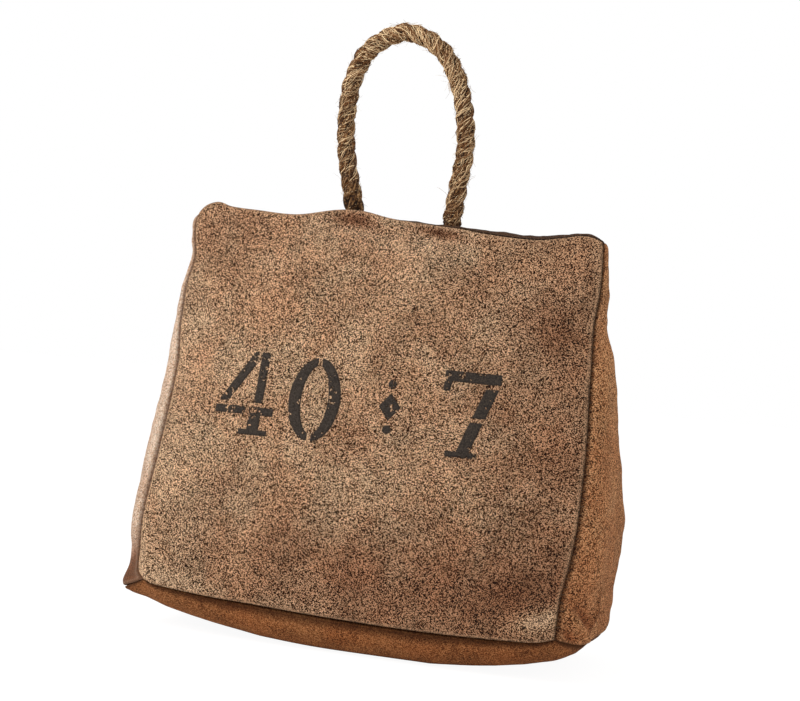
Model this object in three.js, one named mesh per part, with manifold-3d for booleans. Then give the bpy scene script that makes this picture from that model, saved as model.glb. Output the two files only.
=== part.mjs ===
// Leather door stop: a wedge-shaped bag of six sewn leather panels round a sack of sand, with a rope loop
// through its top panel and a stencilled number on its front. Millimetres, X right, Y back, Z up.
import * as THREE from 'three';
import { mergeVertices } from 'three/addons/utils/BufferGeometryUtils.js';
import Module from 'manifold-3d';

const wasm = await Module();
wasm.setup();

// Driving dimensions of the bag, taken along its seams
const bottomWidth = 238;
const topWidth = 234;
const backFlare = 2;
const backTaper = 4;
const bottomDepth = 116;
const topDepth = 24;
const floorSeamHeight = 25;
const bodyHeight = 210;
const leatherThickness = 1.8;
const seamGap = 0.35;

// How far the filling pushes each panel out, and how far its edge rolls over into the seam
const frontDome = 9;
const backDome = 9;
const topDome = 0.3;
const rollDepth = 1.8;
const rollWidth = 2.5;
const sideSeamSag = 6.5;
const floorSeamBelly = 2;

// The share of the base that lies flat on the floor, from its centre to its edge
const flatShareX = 0.383;
const flatShareY = 0.588;

// Filling
const sackClearance = 0.4;
const sackShoulder = 16;
const sackShoulderWidth = 22;

// Rope handle
const ropeDiameter = 10;
const ropeLay = 28;
const strandCount = 3;
const strandGroove = 0.24;
const ropeHoleClearance = 0.7;
const knotDiameter = 17;
const knotLength = 15;
const knotPocketClearance = 0.9;

// Stencil print
const printHeight = 46;
const printCentreX = -6;
const printCentreZ = 137;
const printThickness = 0.25;
const printStandoff = 0.45;
const stencilBridge = 2.4;
const glyphGap = 8;
const ornamentGap = 22;

// Numbers of facets along the panels
const columns = 16;
const rows = 12;
const depthRows = 10;

// Seam forms as [share of the seam's length, offset in mm]. A side seam's offset is outward, from its
// floor end up. A cross seam's offset is upward, from its left end.
const leftSeamWave = [[0, 0], [0.03, 2.5], [0.08, 3.8], [0.16, 4.1], [0.24, 2.9], [0.35, 0.9], [0.59, -1.5],
  [0.7, 0.9], [0.8, 0.2], [0.88, -2.6], [0.95, 1.2], [0.98, 1.8], [1, 0]];
const rightSeamWave = [[0, 0], [0.08, 0.2], [0.13, 1.4], [0.19, 3.4], [0.27, 5], [0.35, 5.4], [0.49, 4.9],
  [0.65, 2.6], [0.78, 0.9], [0.86, 2.4], [0.93, 2.4], [1, 0]];
const frontTopWave = [[0, 0], [0.03, 5.2], [0.052, 7.2], [0.08, 5.4], [0.146, 4.3], [0.25, 3.4],
  [0.357, 7.6], [0.417, 8], [0.49, 5.4], [0.6, 3.8], [0.66, 3.2], [0.715, 1.7], [0.79, 0.4],
  [0.856, 0.2], [0.9, 1.8], [0.95, 3.4], [0.98, 2], [1, 0]];
const backTopWave = [[0, 0], [0.05, 3.4], [0.3, 3.4], [0.45, 4], [0.6, 3], [0.8, 1.6], [0.95, 2.4], [1, 0]];
const floorSeamWave = [[0, 0], [0.04, -1], [0.1, -2.2], [0.2, -3.2], [0.4, -3.6], [0.6, -4.6], [0.75, -4.6],
  [0.9, -3.6], [0.96, -2.6], [1, 0]];
const leftFullness = [[0, 10], [0.06, 10.5], [0.14, 14.5], [0.38, 17.5], [0.52, 14.5], [0.62, 12],
  [0.77, 8.5], [1, 4]];
const rightFullness = [[0, 10], [0.08, 13.5], [0.14, 12.5], [0.37, 11.5], [0.62, 7.5], [0.78, 2], [1, 0.5]];

// The rope's centreline as [X, height above the top seam's corners], from the left knot to the right one
const handleRoute = [[-27.4, -9], [-28.2, 6], [-31.4, 21], [-36.5, 42], [-38, 65], [-35.5, 85], [-27, 101],
  [-8, 111], [11, 104.5], [23, 90.5], [30.8, 70.5], [33.3, 49], [31.2, 29], [29.2, 7], [28.6, -11]];

const topSeamHeight = floorSeamHeight + bodyHeight;

/** Value at a share along a seam form, on a smooth curve through its points. */
function along(points, share) {
  let index = 0;
  while (index < points.length - 2 && share >= points[index + 1][0]) index += 1;
  const slope = (at) => {
    const before = points[Math.max(at - 1, 0)];
    const after = points[Math.min(at + 1, points.length - 1)];
    return (after[1] - before[1]) / (after[0] - before[0]);
  };
  const [startShare, startValue] = points[index];
  const [endShare, endValue] = points[index + 1];
  const span = endShare - startShare;
  const t = (share - startShare) / span;
  return (2 * t ** 3 - 3 * t ** 2 + 1) * startValue + (t ** 3 - 2 * t ** 2 + t) * span * slope(index)
    + (3 * t ** 2 - 2 * t ** 3) * endValue + (t ** 3 - t ** 2) * span * slope(index + 1);
}

/** Rise of a plateau: 1 up to the flat share, then down a round shoulder to 0 at the edge. */
function plateau(share, flatShare, power) {
  const t = Math.max(0, (Math.abs(share) - flatShare) / (1 - flatShare));
  return Math.sqrt(Math.max(0, 1 - t ** power));
}

/** Bow of a seam or panel across its width: 0 at both ends and 1 at the middle, fuller with more power. */
const bow = (share, power) => 1 - Math.abs(2 * share - 1) ** power;

/** The bag's six curved faces, pushed in by an inset from the leather's outer face. */
function bagFaces(inset) {
  const corner = (side, end, level) => {
    const backWidth = level === 0 ? bottomWidth + 2 * backFlare : topWidth - 2 * backTaper;
    const frontWidth = level === 0 ? bottomWidth : topWidth;
    const width = end > 0 ? backWidth : frontWidth;
    const depth = level === 0 ? bottomDepth : topDepth;
    const height = level === 0 ? floorSeamHeight + inset : topSeamHeight - inset;
    return new THREE.Vector3(side * (width / 2 - inset), end * (depth / 2 - inset), height);
  };
  const between = (start, end, share) => start.clone().lerp(end, share);
  const fullness = (side, share) => along(side < 0 ? leftFullness : rightFullness, share);
  const bowPower = (share) => 2.6 + 2.4 * Math.max(0, 1 - share / 0.12);

  const sideSeam = (side, end) => (share) => {
    const point = between(corner(side, end, 0), corner(side, end, 1), share);
    point.x += side * along(side < 0 ? leftSeamWave : rightSeamWave, share);
    return point;
  };
  const floorSeam = (end) => (share) => {
    const point = between(corner(-1, end, 0), corner(1, end, 0), share);
    point.z += along(floorSeamWave, share);
    point.y += end * floorSeamBelly * bow(share, 4);
    return point;
  };
  const topSeam = (end) => (share) => {
    const point = between(corner(-1, end, 1), corner(1, end, 1), share);
    point.z += along(end < 0 ? frontTopWave : backTopWave, share);
    return point;
  };
  const crossSeam = (side, level) => (share) => {
    const point = between(corner(side, -1, level), corner(side, 1, level), share);
    point.x += side * fullness(side, level) * bow(share, bowPower(level));
    if (level === 0) point.z -= sideSeamSag * bow(share, 3);
    return point;
  };

  // A patch filled in between four seams that meet at their ends
  const patch = (bottom, top, left, right) => (u, v) => {
    const sum = new THREE.Vector3();
    sum.addScaledVector(bottom(u), 1 - v).addScaledVector(top(u), v);
    sum.addScaledVector(left(v), 1 - u).addScaledVector(right(v), u);
    sum.addScaledVector(bottom(0), -(1 - u) * (1 - v)).addScaledVector(bottom(1), -u * (1 - v));
    sum.addScaledVector(top(0), -(1 - u) * v).addScaledVector(top(1), -u * v);
    return sum;
  };
  const rolled = (u, v, width, height) => {
    const edge = Math.min(u * width, (1 - u) * width, v * height, (1 - v) * height) - seamGap;
    const t = THREE.MathUtils.clamp(edge / rollWidth, 0, 1);
    return rollDepth * Math.sqrt(1 - (1 - t) ** 2);
  };

  const mainFace = (end) => {
    const flat = patch(floorSeam(end), topSeam(end), sideSeam(-1, end), sideSeam(1, end));
    const dome = end < 0 ? frontDome : backDome;
    return (u, v) => {
      const point = flat(u, v);
      const push = dome * bow(u, 3.2) * bow(v ** 0.85, 3) + rolled(u, v, bottomWidth, bodyHeight);
      point.y += end * push;
      return point;
    };
  };
  const sideFace = (side) => {
    const flat = patch(crossSeam(side, 0), crossSeam(side, 1), sideSeam(side, -1), sideSeam(side, 1));
    return (u, v) => {
      const point = flat(u, v);
      const ownPush = fullness(side, v) - THREE.MathUtils.lerp(fullness(side, 0), fullness(side, 1), v);
      const depth = THREE.MathUtils.lerp(bottomDepth, topDepth, v);
      point.x += side * (ownPush * bow(u, bowPower(v)) + rolled(u, v, depth, bodyHeight));
      return point;
    };
  };
  const baseFace = () => {
    const flat = patch(floorSeam(-1), floorSeam(1), crossSeam(-1, 0), crossSeam(1, 0));
    return (u, v) => {
      const point = flat(u, v);
      const settled = plateau(2 * u - 1, flatShareX, 1.1) * plateau(2 * v - 1, flatShareY, 2);
      point.z = THREE.MathUtils.lerp(point.z, inset, settled);
      return point;
    };
  };
  const topFace = () => {
    const flat = patch(topSeam(-1), topSeam(1), crossSeam(-1, 1), crossSeam(1, 1));
    return (u, v) => {
      const point = flat(u, v);
      point.z += topDome * bow(u, 4) * bow(v, 2) + rolled(u, v, topWidth, topDepth);
      return point;
    };
  };
  return {
    front: mainFace(-1),
    back: mainFace(1),
    left: sideFace(-1),
    right: sideFace(1),
    base: baseFace(),
    top: topFace(),
  };
}

/** Shares from 0 to 1 that lie closer together near both ends, where the panels curve most. */
function shares(count, first = 0, last = 1) {
  const list = [];
  for (let index = 0; index <= count; index += 1) {
    const even = (1 - Math.cos((Math.PI * index) / count)) / 2;
    list.push(Math.min(Math.max(even, first), last));
  }
  return list;
}

/** Grid of points on a face, one row for each v. */
const grid = (face, us, vs) => vs.map((v) => us.map((u) => face(u, v)));

/** Geometry from points and triangles, with equal points joined and its faces pointing out. */
function solidGeometry(points, triangles) {
  const loose = new THREE.BufferGeometry();
  loose.setAttribute('position', new THREE.Float32BufferAttribute(points.flatMap((p) => p.toArray()), 3));
  loose.setIndex(triangles.flat());
  const geometry = mergeVertices(loose, 1e-4);
  const position = geometry.getAttribute('position');
  const index = geometry.getIndex();
  const corners = [new THREE.Vector3(), new THREE.Vector3(), new THREE.Vector3()];
  let volume = 0;
  for (let face = 0; face < index.count; face += 3) {
    corners.forEach((cornerPoint, at) => cornerPoint.fromBufferAttribute(position, index.getX(face + at)));
    volume += corners[0].dot(corners[1].cross(corners[2]));
  }
  if (volume < 0) {
    const turned = [];
    for (let face = 0; face < index.count; face += 3) {
      turned.push(index.getX(face), index.getX(face + 2), index.getX(face + 1));
    }
    geometry.setIndex(turned);
  }
  return geometry;
}

/** Triangles of a grid of points that starts at an offset in the point list. */
function gridTriangles(rowCount, columnCount, offset, turned) {
  const triangles = [];
  for (let row = 0; row < rowCount - 1; row += 1) {
    for (let column = 0; column < columnCount - 1; column += 1) {
      const a = offset + row * columnCount + column;
      const b = a + 1;
      const c = a + columnCount;
      const d = c + 1;
      triangles.push(...(turned ? [[a, c, b], [b, c, d]] : [[a, b, c], [b, d, c]]));
    }
  }
  return triangles;
}

/** Closed panel between an outer grid and an inner grid of the same size, joined round their rims. */
function panelGeometry(outer, inner) {
  const rowCount = outer.length;
  const columnCount = outer[0].length;
  const innerStart = rowCount * columnCount;
  const points = [...outer.flat(), ...inner.flat()];
  const triangles = [...gridTriangles(rowCount, columnCount, 0, false),
    ...gridTriangles(rowCount, columnCount, innerStart, true)];
  const rim = [];
  for (let column = 0; column < columnCount - 1; column += 1) rim.push(column);
  for (let row = 0; row < rowCount - 1; row += 1) rim.push(row * columnCount + columnCount - 1);
  for (let column = columnCount - 1; column > 0; column -= 1) rim.push((rowCount - 1) * columnCount + column);
  for (let row = rowCount - 1; row > 0; row -= 1) rim.push(row * columnCount);
  rim.forEach((from, at) => {
    const to = rim[(at + 1) % rim.length];
    triangles.push([to, from, from + innerStart], [to, from + innerStart, to + innerStart]);
  });
  return solidGeometry(points, triangles);
}

/** Leather panel of one face, kept clear of its neighbours by the seam gap. */
function leatherPanel(name, width, height, columnCount, rowCount) {
  const marginU = seamGap / width;
  const marginV = seamGap / height;
  const us = shares(columnCount, marginU, 1 - marginU);
  const vs = shares(rowCount, marginV, 1 - marginV);
  return panelGeometry(grid(bagFaces(0)[name], us, vs), grid(bagFaces(leatherThickness)[name], us, vs));
}

/** Solid for boolean work from a closed geometry. */
function toSolid(geometry) {
  const bare = geometry.clone();
  bare.deleteAttribute('normal');
  bare.deleteAttribute('uv');
  const merged = mergeVertices(bare, 1e-4);
  return new wasm.Manifold(new wasm.Mesh({
    numProp: 3,
    vertProperties: new Float32Array(merged.getAttribute('position').array),
    triVerts: new Uint32Array(merged.getIndex().array),
  }));
}

/** Geometry from a solid. */
function toGeometry(solid) {
  const mesh = solid.getMesh();
  const geometry = new THREE.BufferGeometry();
  geometry.setAttribute('position', new THREE.BufferAttribute(mesh.vertProperties, 3));
  geometry.setIndex(new THREE.BufferAttribute(mesh.triVerts, 1));
  return geometry;
}

/** Upright round cutter between two heights. */
function roundCutter(x, radius, lowZ, highZ) {
  const cutter = new THREE.CylinderGeometry(radius, radius, highZ - lowZ, 24);
  cutter.rotateX(Math.PI / 2);
  cutter.translate(x, 0, (lowZ + highZ) / 2);
  return toSolid(cutter);
}

/** Curve of the rope's centre through its chosen points. */
function handleCurve() {
  const points = handleRoute.map(([x, rise]) => new THREE.Vector3(x, 0, topSeamHeight + rise));
  return new THREE.CatmullRomCurve3(points, false, 'centripetal');
}

/** Places where the rope's two legs pass through the top panel, with the rope's direction there. */
function ropeLegs() {
  const curve = handleCurve();
  const top = bagFaces(leatherThickness / 2).top;
  return [0, 1].map((end) => {
    let share = 0;
    let point = curve.getPointAt(end);
    while (point.z < top(0.5 + point.x / topWidth, 0.5).z) {
      share += 0.002;
      point = curve.getPointAt(Math.abs(end - share));
    }
    return { point, direction: curve.getTangentAt(Math.abs(end - share)) };
  });
}

const legs = ropeLegs();
const ropeHoleRadius = ropeDiameter / 2 + ropeHoleClearance;

/** Top panel with a round hole for each leg of the rope. */
function topPanel() {
  let panel = toSolid(leatherPanel('top', topWidth, topDepth, columns, depthRows));
  legs.forEach(({ point, direction }) => {
    const cutter = new THREE.CylinderGeometry(ropeHoleRadius, ropeHoleRadius, ropeLay, 24);
    cutter.applyQuaternion(new THREE.Quaternion().setFromUnitVectors(new THREE.Vector3(0, 1, 0), direction));
    cutter.translate(point.x, point.y, point.z);
    panel = panel.subtract(toSolid(cutter));
  });
  return toGeometry(panel);
}

/** Sealed sack of sand that fills the panels, with soft shoulders and a pocket round each knot. */
function sandSack() {
  const faces = bagFaces(leatherThickness + sackClearance);
  const heart = new THREE.Vector3(0, 0, floorSeamHeight + bodyHeight / 2);
  const soften = (face, width, height) => (u, v) => {
    const point = face(u, v);
    const edge = Math.min(u * width, (1 - u) * width, v * height, (1 - v) * height);
    const nearEdge = 1 - Math.min(1, edge / sackShoulderWidth);
    const inward = heart.clone().sub(point).normalize();
    return point.addScaledVector(inward, (sackShoulder * nearEdge ** 2) / 2);
  };
  const us = shares(columns);
  const vs = shares(rows);
  const ws = shares(depthRows);
  const middleDepth = (bottomDepth + topDepth) / 2;
  const sides = [
    [grid(soften(faces.front, bottomWidth, bodyHeight), us, vs), false],
    [grid(soften(faces.back, bottomWidth, bodyHeight), us, vs), true],
    [grid(soften(faces.left, middleDepth, bodyHeight), ws, vs), true],
    [grid(soften(faces.right, middleDepth, bodyHeight), ws, vs), false],
    [grid(soften(faces.base, bottomWidth, middleDepth), us, ws), true],
    [grid(soften(faces.top, bottomWidth, middleDepth), us, ws), false],
  ];
  const points = [];
  const triangles = [];
  sides.forEach(([rowsOfPoints, turned]) => {
    triangles.push(...gridTriangles(rowsOfPoints.length, rowsOfPoints[0].length, points.length, turned));
    points.push(...rowsOfPoints.flat());
  });
  let sack = toSolid(solidGeometry(points, triangles));
  const lowestRise = Math.min(...handleRoute.map(([, rise]) => rise));
  const knotFoot = topSeamHeight + lowestRise - knotPocketClearance;
  const knotPocketRadius = knotDiameter / 2 + knotPocketClearance;
  legs.forEach(({ point }) => {
    sack = sack.subtract(roundCutter(point.x, knotPocketRadius, knotFoot, topSeamHeight + bodyHeight / 4));
  });
  return toGeometry(sack);
}

/** Rope handle: three strands laid right-handed along the curve, swelling into a knot at each end. */
function ropeHandle() {
  const curve = handleCurve();
  const length = curve.getLength();
  const pointsPerStrand = 4;
  const ringSize = strandCount * pointsPerStrand;
  const stepsPerTurn = 12;
  const steps = Math.round((length / ropeLay) * stepsPerTurn);
  const across = new THREE.Vector3(0, 1, 0);
  const points = [];
  const triangles = [];
  for (let step = 0; step <= steps; step += 1) {
    const share = step / steps;
    const centre = curve.getPointAt(share);
    const tangent = curve.getTangentAt(share);
    const normal = new THREE.Vector3().crossVectors(across, tangent).normalize();
    const fromEnd = Math.min(share, 1 - share) * length;
    const alongKnot = (2 * fromEnd) / knotLength - 1;
    const knot = (knotDiameter / 2) * Math.sqrt(Math.max(0, 1 - 0.8 * alongKnot ** 2));
    const radius = alongKnot < 1 ? Math.max(knot, ropeDiameter / 2) : ropeDiameter / 2;
    const turn = (-2 * Math.PI * share * length) / ropeLay;
    for (let at = 0; at < ringSize; at += 1) {
      const fromCrest = Math.abs(((at % pointsPerStrand) / pointsPerStrand) * 2 - 1);
      const reach = radius * (1 - strandGroove * fromCrest ** 2);
      const angle = (2 * Math.PI * at) / ringSize + turn;
      points.push(centre.clone().addScaledVector(normal, reach * Math.cos(angle))
        .addScaledVector(across, -reach * Math.sin(angle)));
    }
  }
  for (let step = 0; step < steps; step += 1) {
    for (let at = 0; at < ringSize; at += 1) {
      const a = step * ringSize + at;
      const b = step * ringSize + ((at + 1) % ringSize);
      triangles.push([a, b, a + ringSize], [b, b + ringSize, a + ringSize]);
    }
  }
  [[0, true], [steps, false]].forEach(([step, turned]) => {
    const middle = points.length;
    points.push(curve.getPointAt(step / steps));
    for (let at = 0; at < ringSize; at += 1) {
      const a = step * ringSize + at;
      const b = step * ringSize + ((at + 1) % ringSize);
      triangles.push(turned ? [middle, b, a] : [middle, a, b]);
    }
  });
  return solidGeometry(points, triangles);
}

/** Point on the front face that stands at a given X and Z. */
function frontPointAt(face, x, z) {
  let u = 0.5;
  let v = 0.5;
  for (let round = 0; round < 8; round += 1) {
    const point = face(u, v);
    u = THREE.MathUtils.clamp(u + (x - point.x) / bottomWidth, 0, 1);
    v = THREE.MathUtils.clamp(v + (z - point.z) / bodyHeight, 0, 1);
  }
  return face(u, v);
}

/** Outline with extra points, so that no edge is longer than a step. */
function finer(outline, step) {
  const points = [];
  outline.forEach((from, at) => {
    const to = outline[(at + 1) % outline.length];
    const pieces = Math.max(1, Math.ceil(Math.hypot(to[0] - from[0], to[1] - from[1]) / step));
    for (let piece = 0; piece < pieces; piece += 1) {
      const share = piece / pieces;
      points.push([from[0] + (to[0] - from[0]) * share, from[1] + (to[1] - from[1]) * share]);
    }
  });
  return points;
}

/** Thin patch of paint with a given outline, laid along the front panel. */
function paintPatch(outline) {
  const shape = new THREE.Shape(finer(outline, 7).map(([x, y]) => new THREE.Vector2(x, y)));
  const geometry = new THREE.ExtrudeGeometry(shape, { depth: printThickness, bevelEnabled: false });
  const face = bagFaces(0).front;
  const position = geometry.getAttribute('position');
  for (let at = 0; at < position.count; at += 1) {
    const under = frontPointAt(face, printCentreX + position.getX(at), printCentreZ + position.getY(at));
    position.setXYZ(at, under.x, under.y - printStandoff - position.getZ(at), under.z);
  }
  const points = [];
  for (let at = 0; at < position.count; at += 1) {
    points.push(new THREE.Vector3().fromBufferAttribute(position, at));
  }
  const triangles = [];
  for (let at = 0; at < position.count; at += 3) triangles.push([at, at + 1, at + 2]);
  return solidGeometry(points, triangles);
}

// Strokes of the numerals, in shares of the numeral's height
const thinStroke = printHeight * 0.095;
const thickStroke = printHeight * 0.155;
const serifDepth = printHeight * 0.065;
const fourWidth = printHeight * 0.77;
const zeroWidth = printHeight * 0.65;
const sevenWidth = printHeight * 0.67;
const diamondWidth = printHeight * 0.27;

/** The four: a diagonal, a bar to its left, and a stem whose foot carries the bar's right end. */
function fourOutlines() {
  const stemLeft = fourWidth * 0.6;
  const stemRight = stemLeft + thickStroke;
  const barLow = printHeight * 0.24;
  const barHigh = barLow + thinStroke;
  const above = barHigh + stencilBridge;
  const footLeft = stemLeft - thickStroke * 0.7;
  const footRight = stemRight + thickStroke * 0.7;
  return [
    [[thinStroke * 0.3, above], [thinStroke * 1.6, above], [stemLeft, printHeight * 0.86],
      [stemLeft, printHeight], [stemLeft - thinStroke * 0.5, printHeight]],
    [[0, barLow], [stemLeft - stencilBridge, barLow], [stemLeft - stencilBridge, barHigh], [0, barHigh]],
    [[stemLeft + stencilBridge * 0.8, above], [stemRight, above], [stemRight, printHeight],
      [stemLeft + stencilBridge * 0.8, printHeight]],
    [[stemLeft, barHigh], [stemLeft, serifDepth], [footLeft, serifDepth], [footLeft, 0], [footRight, 0],
      [footRight, serifDepth], [stemRight, serifDepth], [stemRight, barLow], [fourWidth, barLow],
      [fourWidth, barHigh]],
  ];
}

/** The nought: two half rings, thick at their sides. */
function zeroOutlines() {
  const centreX = zeroWidth / 2;
  const centreY = printHeight / 2;
  const innerX = centreX - thickStroke;
  const innerY = centreY - thinStroke;
  const arcSteps = 12;
  return [-1, 1].map((side) => {
    const outerPoints = [];
    const innerPoints = [];
    for (let step = 0; step <= arcSteps; step += 1) {
      const angle = Math.PI * (step / arcSteps - 0.5);
      const clear = stencilBridge / 2;
      const outerX = Math.max(clear, centreX * Math.cos(angle));
      const holeX = Math.max(clear, innerX * Math.cos(angle));
      outerPoints.push([centreX + side * outerX, centreY + centreY * Math.sin(angle)]);
      innerPoints.unshift([centreX + side * holeX, centreY + innerY * Math.sin(angle)]);
    }
    return [...outerPoints, ...innerPoints];
  });
}

/** The seven: a top bar with a hanging serif, and a sloping stem in two lengths on a foot. */
function sevenOutlines() {
  const barLow = printHeight - thickStroke * 0.8;
  const stemTop = barLow - stencilBridge;
  const breakHigh = printHeight * 0.47;
  const breakLow = breakHigh - stencilBridge;
  const footX = sevenWidth * 0.34;
  const stemX = (height) => footX + (sevenWidth - thickStroke * 1.1 - footX) * (height / stemTop);
  return [
    [[0, printHeight * 0.76], [thinStroke * 0.8, printHeight * 0.76], [thinStroke, barLow],
      [sevenWidth, barLow],
      [sevenWidth, printHeight], [0, printHeight]],
    [[stemX(breakHigh), breakHigh], [stemX(breakHigh) + thickStroke, breakHigh],
      [stemX(stemTop) + thickStroke, stemTop], [stemX(stemTop), stemTop]],
    [[stemX(serifDepth), serifDepth], [footX - thickStroke * 0.7, serifDepth], [footX - thickStroke * 0.7, 0],
      [footX + thickStroke * 1.7, 0], [footX + thickStroke * 1.7, serifDepth],
      [stemX(serifDepth) + thickStroke, serifDepth], [stemX(breakLow) + thickStroke, breakLow],
      [stemX(breakLow), breakLow]],
  ];
}

/** The ornament: a diamond with a dot above it and one below. */
function ornamentOutlines() {
  const centreX = diamondWidth / 2;
  const centreY = printHeight / 2;
  const halfHeight = diamondWidth * 0.6;
  const dotRadius = diamondWidth * 0.19;
  const dotOffset = halfHeight + stencilBridge + dotRadius;
  const dotSides = 12;
  const dot = (y) => Array.from({ length: dotSides }, (_, at) => {
    const angle = (2 * Math.PI * at) / dotSides;
    return [centreX + dotRadius * Math.cos(angle), y + dotRadius * Math.sin(angle)];
  });
  return [
    [[0, centreY], [centreX, centreY - halfHeight], [diamondWidth, centreY], [centreX, centreY + halfHeight]],
    dot(centreY + dotOffset),
    dot(centreY - dotOffset),
  ];
}

/** All patches of the print, as [node name, outline] about the print's own centre. */
function printPatches() {
  const printWidth = fourWidth + glyphGap + zeroWidth + 2 * ornamentGap + diamondWidth + sevenWidth;
  const zeroStart = fourWidth + glyphGap;
  const ornamentStart = zeroStart + zeroWidth + ornamentGap;
  const sevenStart = ornamentStart + diamondWidth + ornamentGap;
  const glyphs = [['four', 0, fourOutlines()], ['nought', zeroStart, zeroOutlines()],
    ['ornament', ornamentStart, ornamentOutlines()], ['seven', sevenStart, sevenOutlines()]];
  return glyphs.flatMap(([name, start, outlines]) => outlines.map((outline, at) => [
    `print_${name}_${at + 1}`,
    outline.map(([x, y]) => [x + start - printWidth / 2, y - printHeight / 2]),
  ]));
}

const frontSuede = new THREE.MeshStandardMaterial({ color: 0x9a7556, roughness: 0.95, metalness: 0 });
const sideSuede = new THREE.MeshStandardMaterial({ color: 0x8c6040, roughness: 0.95, metalness: 0 });
const baseSuede = new THREE.MeshStandardMaterial({ color: 0x6b4228, roughness: 0.95, metalness: 0 });
const juteRope = new THREE.MeshStandardMaterial({ color: 0x8f6f45, roughness: 0.9, metalness: 0 });
const sackCloth = new THREE.MeshStandardMaterial({ color: 0xb9ad98, roughness: 0.9, metalness: 0 });
const stencilPaint = new THREE.MeshStandardMaterial({ color: 0x2b2c2c, roughness: 0.85, metalness: 0 });

const doorStop = new THREE.Group();

/** Adds one named piece to the door stop. */
function addPiece(name, geometry, material) {
  const mesh = new THREE.Mesh(geometry, material);
  mesh.name = name;
  doorStop.add(mesh);
}

const middleDepth = (bottomDepth + topDepth) / 2;
addPiece('front_panel', leatherPanel('front', bottomWidth, bodyHeight, columns, rows), frontSuede);
addPiece('back_panel', leatherPanel('back', bottomWidth, bodyHeight, columns, rows), frontSuede);
addPiece('left_gusset', leatherPanel('left', middleDepth, bodyHeight, depthRows, rows), sideSuede);
addPiece('right_gusset', leatherPanel('right', middleDepth, bodyHeight, depthRows, rows), sideSuede);
addPiece('base_panel', leatherPanel('base', bottomWidth, bottomDepth, columns, depthRows), baseSuede);
addPiece('top_panel', topPanel(), sideSuede);
addPiece('rope_handle', ropeHandle(), juteRope);
addPiece('sand_sack', sandSack(), sackCloth);
printPatches().forEach(([name, outline]) => addPiece(name, paintPatch(outline), stencilPaint));

// The origin is the middle of the space that the door stop fills, at floor level
const space = new THREE.Box3().setFromObject(doorStop);
doorStop.position.set(-(space.min.x + space.max.x) / 2, -(space.min.y + space.max.y) / 2, -space.min.z);

export default doorStop;
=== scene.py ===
"""Leather door stop: a sewn suede bag of sand with stencilled numerals and a loop of three-strand rope.

The bag is lofted from its seams. Each of its six panels is a patch filled in between four seam lines, pushed
out by the filling and rolled over at its edges. Sizes are real ones in millimetres, and every mesh is turned
into metres in the row's frame when it is built.
"""

from __future__ import annotations

import logging
import math
from dataclasses import dataclass, field
from enum import Enum
from functools import partial

import bmesh
import bpy
import numpy as np
from mathutils import Matrix, Vector
from mathutils.geometry import delaunay_2d_cdt

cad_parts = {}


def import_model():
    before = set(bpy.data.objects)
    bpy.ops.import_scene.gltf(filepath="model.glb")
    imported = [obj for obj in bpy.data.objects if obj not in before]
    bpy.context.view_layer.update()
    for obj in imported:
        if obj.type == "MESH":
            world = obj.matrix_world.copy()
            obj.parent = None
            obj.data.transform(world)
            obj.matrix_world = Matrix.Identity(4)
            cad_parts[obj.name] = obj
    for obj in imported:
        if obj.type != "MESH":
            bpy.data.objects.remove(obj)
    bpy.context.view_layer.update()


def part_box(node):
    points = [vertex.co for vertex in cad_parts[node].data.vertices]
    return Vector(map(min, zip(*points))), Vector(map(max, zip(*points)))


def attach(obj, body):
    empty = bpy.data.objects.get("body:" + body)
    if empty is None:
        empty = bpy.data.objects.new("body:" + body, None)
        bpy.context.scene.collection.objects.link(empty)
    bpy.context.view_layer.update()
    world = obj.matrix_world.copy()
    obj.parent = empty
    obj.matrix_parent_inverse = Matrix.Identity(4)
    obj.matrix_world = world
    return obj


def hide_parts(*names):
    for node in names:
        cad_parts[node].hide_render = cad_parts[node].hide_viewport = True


LOG = logging.getLogger("door_stop")
MM = 0.001
TURN = 2.0 * math.pi
BODY = "root"
TINY = 1e-6
SMALLEST = 1e-9

Array = np.ndarray
Colour = tuple[int, int, int]
Outline = list[tuple[float, float]]
Piece = bpy.types.Object
Material = bpy.types.Material
Socket = bpy.types.NodeSocket


def linear(colour: Colour) -> tuple[float, float, float, float]:
    """Solid linear colour of a display colour with channels from 0 to 255."""
    def channel(value: int) -> float:
        """One channel of the linear colour."""
        share = value / 255.0
        return share / 12.92 if share <= 0.04045 else ((share + 0.055) / 1.055) ** 2.4

    return *map(channel, colour), 1.0


def bow(share: Array, power: float | Array) -> Array:
    """Rise that is 0 at both ends of a share and 1 at its middle, fuller with more power."""
    return 1.0 - np.abs(2.0 * share - 1.0) ** power


def smooth_step(value: Array, low: float, high: float) -> Array:
    """Smooth rise from 0 at low to 1 at high."""
    t = np.clip((value - low) / (high - low), 0.0, 1.0)
    return t * t * (3.0 - 2.0 * t)


def mix(start: Array, end: Array, share: Array) -> Array:
    """Points between two sets of points, at a share for each."""
    return start * (1.0 - share)[..., None] + end * share[..., None]


def unit(vectors: Array) -> Array:
    """Vectors of length 1 in the same directions."""
    return vectors / np.maximum(np.linalg.norm(vectors, axis=-1, keepdims=True), SMALLEST)


def curve(t: Array, start: Array, end: Array, leave: Array, arrive: Array) -> Array:
    """Smooth curve from start to end at shares t, with its slopes at both ends."""
    begun = (2 * t**3 - 3 * t**2 + 1) * start + (t**3 - 2 * t**2 + t) * leave
    return begun + (3 * t**2 - 2 * t**3) * end + (t**3 - t**2) * arrive


def link(name: str, data: bpy.types.ID) -> Piece:
    """New object that holds the data and stands in the scene."""
    piece = bpy.data.objects.new(name, data)
    bpy.context.collection.objects.link(piece)
    return piece


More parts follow.
